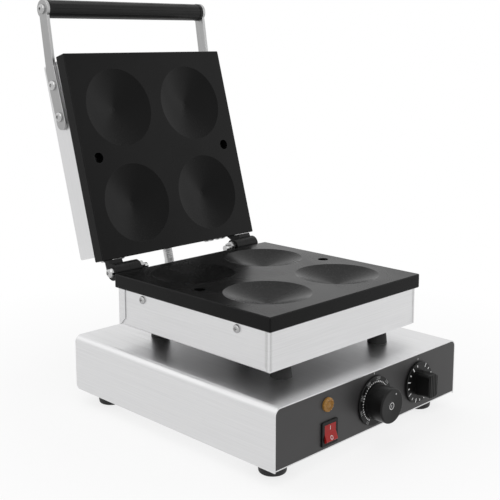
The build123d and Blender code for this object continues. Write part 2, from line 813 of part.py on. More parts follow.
# Stand-off bolts and nuts: from inside the base up into the lower housing
standoff_grip = base_sheet + standoff_height + housing_sheet
standoff_bolt = fastener(
    standoff_shank_radius,
    standoff_grip + standoff_nut_height + shank_tip,
    standoff_head_radius,
    standoff_head_height,
    socket_radius=dome_socket_radius,
    socket_depth=dome_socket_depth,
)
with BuildPart() as standoff_bolts:
    with Locations([Plane((x, y, base_top - base_sheet), z_dir=(0, 0, -1)) for x, y in standoff_places]):
        add(standoff_bolt)
standoff_bolts.part.label = "standoff_bolts"
export_step(standoff_bolts.part, "parts/standoff_bolts.step")

with BuildPart() as standoff_nuts:
    with Locations([seat.offset(standoff_height + housing_sheet) for seat in standoff_seats]):
        add(hex_nut(arm_nut_flats, standoff_nut_height, standoff_shank_radius + shaft_gap))
standoff_nuts.part.label = "standoff_nuts"
export_step(standoff_nuts.part, "parts/standoff_nuts.step")

# Wiring sleeve: a rubber tube from the base to the lower housing, for the sensor and the wires
with BuildPart() as wiring_sleeve:
    with BuildSketch(level(world, base_top)):
        with Locations((0, depth(sleeve_y))):
            Circle(sleeve_radius)
            Circle(sleeve_bore_radius, mode=Mode.SUBTRACT)
    extrude(amount=standoff_height)
wiring_sleeve.part.label = "wiring_sleeve"
export_step(wiring_sleeve.part, "parts/wiring_sleeve.step")

# Cooking units: each is built from its cooking face inwards, so that the lid's unit mirrors the lower one
dish_ys = [depth(dish_front_y), depth(dish_rear_y)]
dish_places = [(x, y) for x in (-dish_x, dish_x) for y in dish_ys]
fixing_places = [(-fixing_x, depth(fixing_y)), (fixing_x, depth(fixing_y))]
side_screw_ys = [depth(side_screw_front_y), depth(side_screw_rear_y)]
side_screw_depth = plate_thickness + side_screw_drop
lug_x = housing_half_width - housing_sheet - sheet_gap - lug_width / 2
element_depth = plate_thickness + element_gap + element_radius
clamp_plane_depth = element_depth + element_radius + element_gap
clamp_places = [(0, depth(clamp_front_y)), (0, depth(clamp_rear_y))]
units = {
    "lower": (lower_face, lower_housing_height, lower_insulation_height, side_screw_ys),
    "lid": (lid_face, lid_housing_height, lid_insulation_height, []),
}
fixing_screw = fastener(
    fixing_shank_radius,
    fixing_shank_length,
    fixing_head_radius,
    fixing_head_height,
    socket_radius=fixing_socket_radius,
    socket_depth=fixing_socket_depth,
)
clamp_seat_depth = clamp_plane_depth + clamp_thickness
clamp_screw_length = clamp_seat_depth - plate_thickness + clamp_screw_bite
clamp_screw = pan_screw(clamp_screw_radius, clamp_screw_length, clamp_head_radius, clamp_head_height)
for name, (face, casing_height, insulation_height, lug_ys) in units.items():
    plate_back = face.offset(plate_thickness)
    casing_inner = plate_thickness + casing_height - housing_sheet

    # Mould plate: a cast slab with four shallow conical dishes, two deep fixing holes and side lugs
    with BuildPart() as mould_plate:
        with BuildSketch(face):
            with Locations((0, plate_mid_y)):
                Rectangle(2 * plate_half_width, plate_rear_y - plate_front_y)
        extrude(amount=plate_thickness)
        face_normal = Axis(face.origin, face.z_dir)
        fillet(mould_plate.edges().filter_by(face_normal), plate_corner)
        chamfer(mould_plate.faces().filter_by(face_normal).edges(), plate_edge)
        for x, y in dish_places:
            dish_axis = Plane(face.from_local_coords(Vector(x, y, 0)), x_dir=face.x_dir, z_dir=-face.y_dir)
            with BuildSketch(dish_axis):
                with BuildLine():
                    Line((0, 0), (dish_radius, 0))
                    ThreePointArc(
                        (dish_radius, 0),
                        (dish_radius / 2, dish_depth / 2 + dish_bow),
                        (dish_tip_radius, dish_depth),
                    )
                    Line((dish_tip_radius, dish_depth), (0, dish_depth))
                    Line((0, dish_depth), (0, 0))
                make_face()
            revolve(axis=Axis(dish_axis.origin, face.z_dir), mode=Mode.SUBTRACT)
        with BuildSketch(face):
            with Locations(fixing_places):
                Circle(fixing_hole_radius)
        extrude(amount=fixing_hole_depth, mode=Mode.SUBTRACT)
        with BuildSketch(face):
            with Locations(fixing_places):
                Circle(fixing_shank_radius + hole_gap)
        extrude(amount=plate_thickness, mode=Mode.SUBTRACT)
        with BuildSketch(plate_back):
            with Locations(clamp_places):
                Circle(clamp_screw_radius + shaft_gap)
        extrude(amount=-clamp_screw_bite - sheet_gap, mode=Mode.SUBTRACT)
        if lug_ys:
            with BuildSketch(plate_back):
                with Locations([(x, y) for x in (-lug_x, lug_x) for y in lug_ys]):
                    Rectangle(lug_width, lug_length)
            extrude(amount=lug_drop)
            with BuildSketch(side_view(face, 0)):
                with Locations([(y, side_screw_depth) for y in lug_ys]):
                    Circle(side_shank_radius + shaft_gap)
            extrude(amount=2 * housing_half_width, both=True, mode=Mode.SUBTRACT)
    mould_plate.part.label = f"{name}_mould_plate"
    export_step(mould_plate.part, f"parts/{name}_mould_plate.step")

    # Plate screws: sunk in the fixing holes, and driven into pillars of the casing
    fixing_seats = [face.from_local_coords(Vector(x, y, fixing_hole_depth)) for x, y in fixing_places]
    with BuildPart() as plate_screws:
        with Locations([Plane(seat, z_dir=-face.z_dir) for seat in fixing_seats]):
            add(fixing_screw)
    plate_screws.part.label = f"{name}_plate_screws"
    export_step(plate_screws.part, f"parts/{name}_plate_screws.step")

    # Heating element: one tube bent to and fro below the dishes, with a pin at each end
    with BuildPart() as heating_element:
        with BuildLine(face.offset(element_depth)) as element_path:
            FilletPolyline(
                (-element_outer_x, depth(element_rear_y)),
                (-element_outer_x, depth(element_front_y)),
                (-element_inner_x, depth(element_front_y)),
                (-element_inner_x, depth(element_turn_y)),
                (element_inner_x, depth(element_turn_y)),
                (element_inner_x, depth(element_front_y)),
                (element_outer_x, depth(element_front_y)),
                (element_outer_x, depth(element_rear_y)),
                radius=element_bend,
            )
        with BuildSketch(Plane(element_path.wires()[0] @ 0, z_dir=element_path.wires()[0] % 0)):
            Circle(element_radius)
        sweep()
        pin_face = front_view(face, depth(element_rear_y))
        with BuildSketch(pin_face):
            with Locations((-element_outer_x, element_depth), (element_outer_x, element_depth)):
                Circle(element_pin_radius)
        extrude(amount=-element_pin_length)
    heating_element.part.label = f"{name}_heating_element"
    export_step(heating_element.part, f"parts/{name}_heating_element.step")

    # Element clamps: two flat bars that press the element to the plate
    with BuildPart() as element_clamps:
        with BuildSketch(face.offset(clamp_plane_depth)):
            with Locations(clamp_places):
                Rectangle(2 * clamp_half_width, clamp_depth)
                Circle(clamp_screw_radius + hole_gap, mode=Mode.SUBTRACT)
        extrude(amount=clamp_thickness)
    element_clamps.part.label = f"{name}_element_clamps"
    export_step(element_clamps.part, f"parts/{name}_element_clamps.step")

    # Clamp screws: through the bars into the back of the plate
    clamp_seats = [face.from_local_coords(Vector(x, y, clamp_seat_depth)) for x, y in clamp_places]
    with BuildPart() as clamp_screws:
        with Locations([Plane(seat, z_dir=face.z_dir) for seat in clamp_seats]):
            add(clamp_screw)
    clamp_screws.part.label = f"{name}_clamp_screws"
    export_step(clamp_screws.part, f"parts/{name}_clamp_screws.step")

    # Insulation: a mineral wool blanket against the far wall of the casing
    with BuildPart() as insulation:
        with BuildSketch(face.offset(casing_inner - insulation_gap)):
            with Locations((0, depth((insulation_front_y + insulation_rear_y) / 2))):
                Rectangle(2 * insulation_half_width, insulation_rear_y - insulation_front_y)
            if name == "lower":
                with Locations(standoff_places):
                    Circle(insulation_hole_radius, mode=Mode.SUBTRACT)
                with Locations((0, depth(sleeve_y))):
                    Circle(insulation_hole_radius, mode=Mode.SUBTRACT)
        extrude(amount=-insulation_height)
    insulation.part.label = f"{name}_insulation"
    export_step(insulation.part, f"parts/{name}_insulation.step")

# Lower housing: folded sheet, open at the back, with a lip under the plate and two screw pillars
with BuildPart() as lower_housing:
    with BuildSketch(level(world, housing_z)):
        with Locations((0, housing_mid_y)):
            Rectangle(2 * housing_half_width, housing_depth)
    extrude(amount=lower_housing_height)
    front_edges = lower_housing.edges().filter_by(Axis.Z).group_by(Axis.Y)[0]
    side_edges = lower_housing.edges().filter_by(Axis.Y).group_by(Axis.Z)[0]
    fillet(front_edges + side_edges, housing_bend)
    open_faces = [lower_housing.faces().sort_by(Axis.Z)[-1], lower_housing.faces().sort_by(Axis.Y)[-1]]
    offset(amount=-housing_sheet, openings=open_faces)
    with BuildSketch(level(world, lower_plate_z)):
        with Locations((0, housing_mid_y)):
            Rectangle(2 * housing_half_width - housing_sheet, housing_depth - housing_sheet)
        with Locations((0, housing_mid_y + housing_lip / 2)):
            Rectangle(
                2 * (housing_half_width - housing_lip), housing_depth - housing_lip + 1, mode=Mode.SUBTRACT
            )
        with Locations([(x, y) for x in (-lug_x, lug_x) for y in side_screw_ys]):
            Rectangle(lug_width + 2 * sheet_gap, lug_length + 2 * sheet_gap, mode=Mode.SUBTRACT)
    extrude(amount=-housing_sheet)
    with BuildSketch(level(world, housing_z + housing_sheet)):
        with Locations(fixing_places):
            Circle(pillar_radius)
    extrude(amount=lower_housing_height - housing_sheet - sheet_gap)
    with BuildSketch(level(world, lower_plate_z)):
        with Locations(fixing_places):
            Circle(fixing_shank_radius + shaft_gap)
    extrude(amount=-fixing_shank_length, mode=Mode.SUBTRACT)
    with BuildSketch(level(world, housing_z)):
        with Locations(standoff_places):
            Circle(standoff_shank_radius + hole_gap)
        with Locations((0, depth(sleeve_y))):
            Circle(sleeve_bore_radius)
    extrude(amount=housing_sheet, mode=Mode.SUBTRACT)
    with BuildSketch(side_view(lower_face, 0)):
        with Locations([(y, side_screw_depth) for y in side_screw_ys]):
            Circle(side_shank_radius + hole_gap)
    extrude(amount=2 * housing_half_width, both=True, mode=Mode.SUBTRACT)
lower_housing.part.label = "lower_housing"
export_step(lower_housing.part, "parts/lower_housing.step")

# Side screws of the lower housing: into the lugs of the plate
side_screw = pan_screw(side_shank_radius, side_screw_length, side_head_radius, side_head_height)
with BuildPart() as lower_housing_screws:
    for side in (-1, 1):
        seats = [(side * housing_half_width, y, seam_z - side_screw_depth) for y in side_screw_ys]
        with Locations([Plane(seat, z_dir=(side, 0, 0)) for seat in seats]):
            add(side_screw)
lower_housing_screws.part.label = "lower_housing_screws"
export_step(lower_housing_screws.part, "parts/lower_housing_screws.step")

# Hinge layout, seen from the side in each casing's own Y and depth
leaf_top_depth = plate_thickness + leaf_setback
leaf_bottom_depth = leaf_top_depth + leaf_height
knuckle_split = knuckle_inner_x + knuckle_width
knuckle_outer = knuckle_split + knuckle_gap + upper_knuckle_width
upper_knuckle_x = knuckle_split + knuckle_gap
leaf_outer_x = upper_knuckle_x + leaf_overlap
leaf_inner_x = leaf_outer_x - leaf_width
leaf_mid_x = leaf_outer_x - leaf_width / 2
leaf_mid_depth = leaf_top_depth + leaf_height / 2
leaf_screw_xs = [leaf_inner_x + leaf_screw_inset, leaf_outer_x - leaf_screw_inset]
leaf_screw_depths = [leaf_bottom_depth - leaf_screw_inset, leaf_top_depth + leaf_screw_drop]
leaf_screw_points = [(side * x, t) for side in (-1, 1) for x in leaf_screw_xs for t in leaf_screw_depths]
conduit_lid_depth = conduit_lid_rise + hinge_z - lid_face_z

# Conduit route, in Y and Z: out of the lid, a turn outwards, and back into the lower housing
lid_exit = turned_open(wall_y + fitting_length, hinge_z + conduit_lid_rise)
with BuildLine() as conduit_route:
    exit_point = (lid_exit.Y, lid_exit.Z)
    straight = PolarLine(exit_point, conduit_straight, direction=(open_cos, -open_sin))
    outward = JernArc(straight @ 1, straight % 1, conduit_outward_radius, conduit_outward_turn)
    inward_turn = open_angle - 180 - conduit_outward_turn
    back = JernArc(outward @ 1, outward % 1, conduit_return_radius, inward_turn)
    Line(back @ 1, (wall_y + fitting_length, (back @ 1).Y))
conduit_line = conduit_route.wires()[0]
conduit_low_z = (conduit_line @ 1).Y

# Back piece of the lower housing: a plate whose sides wrap round the housing and end in a slanted cut
with BuildPart() as lower_housing_back:
    back_half = housing_half_width + sheet_gap + housing_sheet
    back_front_y = depth(housing_rear_y - back_wrap)
    back_rear_y = wall_y - sheet_gap
    with BuildSketch(level(world, housing_z)):
        with Locations((0, (back_front_y + back_rear_y) / 2)):
            Rectangle(2 * back_half, back_rear_y - back_front_y)
        with Locations((0, (back_front_y + back_rear_y) / 2 - housing_sheet)):
            Rectangle(2 * (back_half - housing_sheet), back_rear_y - back_front_y, mode=Mode.SUBTRACT)
    extrude(amount=lower_housing_height)
    with BuildSketch(side_view(world, 0)):
        Polygon(
            (back_front_y, housing_z),
            (back_front_y + back_corner_cut, housing_z),
            (back_front_y, housing_z + back_corner_cut),
            align=None,
        )
    extrude(amount=2 * back_half, both=True, mode=Mode.SUBTRACT)
    with BuildSketch(front_view(lower_face, back_rear_y)):
        with Locations(leaf_screw_points):
            Circle(leaf_screw_radius + hole_gap)
    extrude(amount=2 * housing_sheet, both=True, mode=Mode.SUBTRACT)
    with BuildSketch(front_view(world, back_rear_y)):
        with Locations((0, conduit_low_z)):
            Circle(fitting_inner_radius + hole_gap)
    extrude(amount=2 * housing_sheet, both=True, mode=Mode.SUBTRACT)
lower_housing_back.part.label = "lower_housing_back"
export_step(lower_housing_back.part, "parts/lower_housing_back.step")

# Lid housing: a folded cover, open towards its plate, with holes for the arms and the leaves
arm_inner_x = housing_half_width + arm_gap
arm_rear_z = lid_back_z + arm_rear_rise
arm_front_z = lid_back_z + arm_front_rise
arm_slope = (arm_front_z - arm_rear_z) / (arm_bolt_rear_y - arm_bolt_front_y)
arm_bolt_places = [(depth(arm_bolt_rear_y), arm_rear_z), (depth(arm_bolt_front_y), arm_front_z)]
lid_rear_y = depth(housing_rear_y + housing_sheet)
lid_depth = lid_rear_y - depth(housing_front_y)
lid_up = Axis((0, 0, 0), (0, open_sin, open_cos))
with BuildPart() as lid_housing:
    with BuildSketch(lid_face.offset(plate_thickness)):
        with Locations((0, (depth(housing_front_y) + lid_rear_y) / 2)):
            Rectangle(2 * housing_half_width, lid_depth)
    extrude(amount=lid_housing_height)
    cover_outer = lid_housing.faces().sort_by(lid_up)[-1]
    fillet(lid_housing.edges().filter_by(lid_up) + cover_outer.edges(), housing_bend)
    offset(amount=-housing_sheet, openings=[lid_housing.faces().sort_by(lid_up)[0]])
    with BuildSketch(lid_face.offset(plate_thickness)):
        with Locations((0, (depth(housing_front_y) + lid_rear_y) / 2)):
            Rectangle(2 * housing_half_width - housing_sheet, lid_depth - housing_sheet)
            Rectangle(2 * (housing_half_width - housing_lip), lid_depth - 2 * housing_lip, mode=Mode.SUBTRACT)
    extrude(amount=housing_sheet)
    with BuildSketch(lid_face.offset(plate_thickness + lid_housing_height - housing_sheet)):
        with Locations(fixing_places):
            Circle(pillar_radius)
    extrude(amount=-lid_housing_height + housing_sheet + sheet_gap)
    with BuildSketch(lid_face.offset(plate_thickness)):
        with Locations(fixing_places):
            Circle(fixing_shank_radius + shaft_gap)
    extrude(amount=fixing_shank_length, mode=Mode.SUBTRACT)
    with BuildSketch(side_view(open_lid, 0)):
        with Locations(arm_bolt_places):
            Circle(arm_bolt_radius + hole_gap)
    extrude(amount=2 * housing_half_width, both=True, mode=Mode.SUBTRACT)
    with BuildSketch(front_view(lid_face, lid_rear_y)):
        with Locations(leaf_screw_points):
            Circle(leaf_screw_radius + hole_gap)
        with Locations((0, conduit_lid_depth)):
            Circle(fitting_inner_radius + hole_gap)
    extrude(amount=2 * housing_sheet, both=True, mode=Mode.SUBTRACT)
lid_housing.part.label = "lid_housing"
export_step(lid_housing.part, "parts/lid_housing.step")

# Hinge leaves: a plate on the back wall and a barrel on a neck. The upper leaf has a strap that goes round
# the plate's rear edge, and a nose that stands against the lower leaf when the lid is open.
lower_axis_depth = seam_z - hinge_z
upper_axis_depth = hinge_z - lid_face_z
slope_depth = leaf_bottom_depth - leaf_slope_rise
slope_y = leaf_outer_y - axis_y
slope_angle = atan2(slope_depth - lower_axis_depth, slope_y)
tangent_angle = slope_angle - acos(barrel_radius / hypot(slope_y, slope_depth - lower_axis_depth))
neck_y = depth(plate_rear_y) + neck_gap
stop_y = leaf_outer_y + stop_gap
stop_root = radians(stop_root_angle)
lower_neck = [
    (wall_y, leaf_top_depth),
    (leaf_outer_y + leaf_neck, leaf_top_depth),
    (axis_y - barrel_radius, lower_axis_depth),
    (axis_y, lower_axis_depth),
    (axis_y + barrel_radius * cos(tangent_angle), lower_axis_depth + barrel_radius * sin(tangent_angle)),
    (leaf_outer_y, slope_depth),
    (wall_y, slope_depth),
]
upper_neck = [
    (neck_y, 0),
    (neck_y, neck_depth),
    (axis_y, upper_axis_depth + barrel_radius),
    (axis_y, upper_axis_depth),
]
strap_side = [
    (neck_y, 0),
    (neck_y, leaf_top_depth),
    (wall_y, leaf_top_depth),
    (wall_y, leaf_top_depth + strap_foot),
    (leaf_outer_y, leaf_top_depth + strap_foot),
    (neck_y + strap_thickness, plate_thickness),
    (neck_y + strap_thickness, 0),
]
stop_side = [
    (axis_y, hinge_z),
    (axis_y, hinge_z - barrel_radius),
    (stop_y, hinge_z - stop_reach),
    (stop_y, hinge_z - stop_reach + stop_height),
    (axis_y - barrel_radius * cos(stop_root), hinge_z - barrel_radius * sin(stop_root)),
]
leaves = {
    "lower": (lower_face, -1, lower_axis_depth, lower_neck, knuckle_inner_x, knuckle_width),
    "upper": (lid_face, 1, upper_axis_depth, upper_neck, upper_knuckle_x, upper_knuckle_width),
}
for leaf_name, (face, turned, axis_depth, neck, knuckle_x, width) in leaves.items():
    for side_name, side in (("left", -1), ("right", 1)):
        side_x = side * turned
        leaf_side = side_view(face, side_x * (knuckle_x + width / 2))
        screw_places = [(side_x * x, t) for x in leaf_screw_xs for t in leaf_screw_depths]
        with BuildPart() as leaf:
            with BuildSketch(front_view(face, wall_y)):
                with Locations((side_x * leaf_mid_x, leaf_mid_depth)):
                    RectangleRounded(leaf_width, leaf_height, leaf_corner)
            extrude(amount=-leaf_thickness)
            with BuildSketch(leaf_side):
                Polygon(*neck, align=None)
                with Locations((axis_y, axis_depth)):
                    Circle(barrel_radius)
            extrude(amount=width / 2, both=True)
            if leaf_name == "upper":
                with BuildSketch(side_view(face, side_x * (knuckle_x + strap_width / 2))):
                    Polygon(*strap_side, align=None)
                extrude(amount=strap_width / 2, both=True)
                with BuildSketch(side_view(world, side * (knuckle_x + stop_width / 2))):
                    Polygon(*stop_side, align=None)
                extrude(amount=stop_width / 2, both=True)
            with BuildSketch(leaf_side):
                with Locations((axis_y, axis_depth)):
                    Circle(hinge_bolt_radius + hinge_bore_gap)
            extrude(amount=width, both=True, mode=Mode.SUBTRACT)
            with BuildSketch(front_view(face, leaf_outer_y)):
                with Locations(screw_places):
                    Circle(leaf_head_radius + sheet_gap)
            extrude(amount=-barrel_radius * 3, mode=Mode.SUBTRACT)
            with BuildSketch(front_view(face, wall_y)):
                with Locations(screw_places):
                    Circle(leaf_screw_radius + hole_gap)
            extrude(amount=-leaf_thickness, mode=Mode.SUBTRACT)
        leaf.part.label = f"{side_name}_hinge_{leaf_name}_leaf"
        export_step(leaf.part, f"parts/{side_name}_hinge_{leaf_name}_leaf.step")

    # Leaf screws: driven through the leaf into the back wall
    leaf_screw = pan_screw(leaf_screw_radius, leaf_screw_length, leaf_head_radius, leaf_head_height)
    screw_seats = [face.from_local_coords(Vector(x, leaf_outer_y, t)) for x, t in leaf_screw_points]
    with BuildPart() as leaf_screws:
        with Locations([Plane(seat, z_dir=face.y_dir) for seat in screw_seats]):
            add(leaf_screw)
    leaf_screws.part.label = f"{leaf_name}_leaf_screws"
    export_step(leaf_screws.part, f"parts/{leaf_name}_leaf_screws.step")

# Hinge bolts and nuts: the bolt is the pin of the hinge, with its dome outside
bolt_length = knuckle_outer - knuckle_inner_x + hinge_nut_height + hinge_thread_tip
with BuildPart() as hinge_bolts:
    for side in (-1, 1):
        with Locations(Plane((side * knuckle_outer, axis_y, hinge_z), z_dir=(side, 0, 0))):
            add(
                fastener(
                    hinge_bolt_radius,
                    bolt_length,
                    hinge_dome_radius,
                    hinge_dome_height,
                    socket_radius=dome_socket_radius,
                    socket_depth=dome_socket_depth,
                )
            )
hinge_bolts.part.label = "hinge_bolts"
export_step(hinge_bolts.part, "parts/hinge_bolts.step")

with BuildPart() as hinge_nuts:
    for side in (-1, 1):
        with Locations(Plane((side * knuckle_inner_x, axis_y, hinge_z), z_dir=(-side, 0, 0))):
            add(hex_nut(hinge_nut_flats, hinge_nut_height, hinge_bolt_radius + shaft_gap))
hinge_nuts.part.label = "hinge_nuts"
export_step(hinge_nuts.part, "parts/hinge_nuts.step")

# Handle arms: flat steel, straight along the lid's side and then bent a little towards the cooking face
arm_end = (depth(arm_end_y), arm_rear_z - arm_slope * (arm_end_y - arm_bolt_rear_y))
arm_bend = (depth(arm_bend_y), arm_front_z + arm_slope * (arm_bolt_front_y - arm_bend_y))
grip_centre = (depth(hinge_y - grip_forward), hinge_z + grip_rise)


def strip(start, end, width):
    """Flat bar with round ends between two points of the current sketch."""
    run = Vector(*end) - Vector(*start)
    with Locations((Vector(*start) + Vector(*end)) / 2):
        SlotCenterToCenter(run.length, width, rotation=degrees(atan2(run.Y, run.X)))


for side_name, side in (("left", -1), ("right", 1)):
    with BuildPart() as handle_arm:
        with BuildSketch(side_view(open_lid, side * (arm_inner_x + arm_thickness / 2))):
            strip(arm_end, arm_bend, arm_width)
            strip(arm_bend, grip_centre, arm_upper_width)
            with Locations(grip_centre):
                Circle(arm_eye_radius)
            with Locations(arm_bolt_places + [grip_centre]):
                Circle(arm_bolt_radius + hole_gap, mode=Mode.SUBTRACT)
        extrude(amount=arm_thickness / 2, both=True)
        chamfer(handle_arm.faces().sort_by(Axis.X)[-1].outer_wire().edges(), arm_edge)
        chamfer(handle_arm.faces().sort_by(Axis.X)[0].outer_wire().edges(), arm_edge)
    handle_arm.part.label = f"handle_arm_{side_name}"
    export_step(handle_arm.part, f"parts/handle_arm_{side_name}.step")

# Arm bolts, their nuts inside the lid, and the bolts at the ends of the grip's rod
arm_bolt = fastener(
    arm_bolt_radius,
    arm_bolt_length,
    dome_radius,
    dome_height,
    socket_radius=dome_socket_radius,
    socket_depth=dome_socket_depth,
)
bolt_sets = {"handle_arm_bolts": arm_bolt_places, "handle_end_bolts": [grip_centre]}
for name, places in bolt_sets.items():
    with BuildPart() as dome_bolts:
        for side in (-1, 1):
            bolt_side = side_view(open_lid, side * (arm_inner_x + arm_thickness))
            seats = [bolt_side.from_local_coords(Vector(y, z, 0)) for y, z in places]
            with Locations([Plane(seat, x_dir=open_lid.y_dir, z_dir=(side, 0, 0)) for seat in seats]):
                add(arm_bolt)
    dome_bolts.part.label = name
    export_step(dome_bolts.part, f"parts/{name}.step")

with BuildPart() as handle_arm_nuts:
    for side in (-1, 1):
        nut_side = side_view(open_lid, side * (housing_half_width - housing_sheet))
        seats = [nut_side.from_local_coords(Vector(y, z, 0)) for y, z in arm_bolt_places]
        with Locations([Plane(seat, x_dir=open_lid.y_dir, z_dir=(-side, 0, 0)) for seat in seats]):
            add(hex_nut(arm_nut_flats, arm_nut_height, arm_bolt_radius + shaft_gap))
handle_arm_nuts.part.label = "handle_arm_nuts"
export_step(handle_arm_nuts.part, "parts/handle_arm_nuts.step")

# Grip: a black bar with fine lengthwise grooves and a plain collar at each end
grip_half = arm_inner_x - sheet_gap
with BuildPart() as handle_grip:
    with BuildSketch(side_view(open_lid, 0)):
        with Locations(grip_centre):
            Circle(grip_radius)
            with PolarLocations(grip_radius + grip_groove_radius / 2, grip_groove_count):
                Circle(grip_groove_radius, mode=Mode.SUBTRACT)
    extrude(amount=grip_half - grip_collar_width / 2, both=True)
    for side in (-1, 1):
        with BuildSketch(side_view(open_lid, side * (grip_half - grip_collar_width / 2))):
            with Locations(grip_centre):
                Circle(grip_collar_radius)
        extrude(amount=grip_collar_width / 2, both=True)
    with BuildSketch(side_view(open_lid, 0)):
        with Locations(grip_centre):
            Circle(rod_radius + hole_gap)
    extrude(amount=grip_half, both=True, mode=Mode.SUBTRACT)
handle_grip.part.label = "handle_grip"
export_step(handle_grip.part, "parts/handle_grip.step")

# Rod: runs through the grip and is tapped at its ends for the end bolts
with BuildPart() as handle_rod:
    with BuildSketch(side_view(open_lid, 0)):
        with Locations(grip_centre):
            Circle(rod_radius)
    extrude(amount=grip_half, both=True)
    for side in (-1, 1):
        with BuildSketch(side_view(open_lid, side * grip_half)):
            with Locations(grip_centre):
                Circle(arm_bolt_radius + shaft_gap)
        extrude(amount=-side * arm_bolt_length, mode=Mode.SUBTRACT)
handle_rod.part.label = "handle_rod"
export_step(handle_rod.part, "parts/handle_rod.step")

# Conduit: a ribbed flexible hose, lofted through four circles for each rib
hose_side = side_view(world, 0)
rib_radii = [conduit_valley_radius, conduit_valley_radius, conduit_radius, conduit_radius]
rib_parts = [0.0, 0.3, 0.45, 0.85]
rib_rings = [
    ((rib + part) / conduit_rib_count, radius)
    for rib in range(conduit_rib_count)
    for part, radius in zip(rib_parts, rib_radii)
]
rib_rings.append((1, conduit_valley_radius))
with BuildPart() as conduit:
    for step, radius in rib_rings:
        ring_centre = hose_side.from_local_coords(Vector((conduit_line @ step).X, (conduit_line @ step).Y, 0))
        ring_heading = Vector(0, (conduit_line % step).X, (conduit_line % step).Y)
        with BuildSketch(Plane(ring_centre, x_dir=(1, 0, 0), z_dir=ring_heading)):
            Circle(radius)
    loft(ruled=True)
    bore_line = hose_side.from_local_coords(conduit_line)
    with BuildSketch(Plane(bore_line @ 0, x_dir=(1, 0, 0), z_dir=bore_line % 0)):
        Circle(conduit_bore_radius)
    sweep(path=bore_line, mode=Mode.SUBTRACT)
conduit.part.label = "conduit"
export_step(conduit.part, "parts/conduit.step")
print("conduit length", round(conduit_line.length, 1))
print("conduit least bend radius", min(conduit_outward_radius, conduit_return_radius))

# Conduit fittings: a hexagon on the wall, a ferrule round the hose's end and a neck inside the wall
lid_wall = open_lid.from_local_coords(Vector(0, lid_rear_y, hinge_z + conduit_lid_rise))
fittings = {
    "conduit_lower_fitting": Plane((0, back_rear_y, conduit_low_z), x_dir=(1, 0, 0), z_dir=(0, 1, 0)),
    "conduit_upper_fitting": Plane(lid_wall, x_dir=(1, 0, 0), z_dir=open_lid.y_dir),
}
for name, fitting_plane in fittings.items():
    with BuildPart() as fitting:
        with BuildSketch(fitting_plane):
            RegularPolygon(fitting_flats / 2, 6, major_radius=False)
        extrude(amount=fitting_length / 2)
        with BuildSketch(fitting_plane):
            Circle(fitting_radius)
        extrude(amount=fitting_length + sheet_gap)
        with BuildSketch(fitting_plane):
            Circle(fitting_inner_radius)
        extrude(amount=-fitting_inner_length)
        with BuildSketch(fitting_plane.offset(-fitting_inner_length)):
            Circle(conduit_bore_radius)
        extrude(amount=fitting_inner_length + fitting_length + 1, mode=Mode.SUBTRACT)
    fitting.part.label = name
    export_step(fitting.part, f"parts/{name}.step")

# Sensor: a bulb on the back of the lower plate, and its thin tube down through the sleeve to the thermostat
bulb_z = lower_plate_z - element_gap - bulb_radius
capillary_z = base_z + capillary_height
with BuildPart() as thermostat_sensor:
    with BuildSketch(front_view(world, depth(bulb_front_y))):
        with Locations((0, bulb_z)):
            Circle(bulb_radius)
    extrude(amount=-bulb_length)
    with BuildLine(side_view(world, 0)):
        FilletPolyline(
            (depth(bulb_front_y + bulb_length), bulb_z),
            (depth(sleeve_y), bulb_z),
            (depth(sleeve_y), capillary_z),
            (depth(panel_sheet + thermostat_body_depth) + 2 * sheet_gap, capillary_z),
            radius=capillary_bend,
        )
    with BuildSketch(front_view(world, depth(bulb_front_y + bulb_length))):
        with Locations((0, bulb_z)):
            Circle(capillary_radius)
    sweep()
thermostat_sensor.part.label = "thermostat_sensor"
export_step(thermostat_sensor.part, "parts/thermostat_sensor.step")
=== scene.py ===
import json
import logging
import math
from dataclasses import dataclass, field
from enum import Enum

import bmesh
import bpy
from mathutils import Matrix, Vector
from mathutils.bvhtree import BVHTree


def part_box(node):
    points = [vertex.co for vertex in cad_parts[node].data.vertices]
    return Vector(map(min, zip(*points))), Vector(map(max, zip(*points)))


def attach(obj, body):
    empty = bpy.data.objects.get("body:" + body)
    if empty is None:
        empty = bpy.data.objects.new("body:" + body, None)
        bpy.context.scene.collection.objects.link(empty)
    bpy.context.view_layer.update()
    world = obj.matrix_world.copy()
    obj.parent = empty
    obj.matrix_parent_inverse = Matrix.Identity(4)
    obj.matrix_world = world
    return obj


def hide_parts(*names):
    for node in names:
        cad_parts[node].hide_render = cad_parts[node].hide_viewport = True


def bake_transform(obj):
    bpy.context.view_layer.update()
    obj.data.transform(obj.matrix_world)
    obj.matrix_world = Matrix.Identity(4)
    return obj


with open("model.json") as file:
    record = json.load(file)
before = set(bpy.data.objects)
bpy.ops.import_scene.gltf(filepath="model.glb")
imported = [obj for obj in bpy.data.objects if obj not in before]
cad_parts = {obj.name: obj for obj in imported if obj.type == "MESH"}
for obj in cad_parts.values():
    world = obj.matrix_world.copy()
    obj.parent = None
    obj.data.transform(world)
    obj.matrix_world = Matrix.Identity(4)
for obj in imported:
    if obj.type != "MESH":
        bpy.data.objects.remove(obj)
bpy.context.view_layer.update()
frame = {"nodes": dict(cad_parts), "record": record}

# Finishes, printed marks, lamp lens, folds, hose, floor, lamps and camera of a pancake maker.
# Metres, in the frame of the part: X to the right, Y to the back, Z up, the floor at zero.

log = logging.getLogger("pancake_maker")

OPEN_ANGLE = math.radians(105.9)
WHITE = (1.0, 1.0, 1.0, 1.0)
Colour = tuple[float, float, float]
Point = tuple[float, float, float]
Node = bpy.types.Node
Socket = bpy.types.NodeSocket


def grey(level: float) -> Colour:
    """Linear neutral colour of one level."""
    return (level, level, level)


def shade(colour: Colour, factor: float, lift: float = 0.0) -> Colour:
    """Colour times a factor plus a lift, held at white."""
    return tuple(min(1.0, factor * channel + lift) for channel in colour)


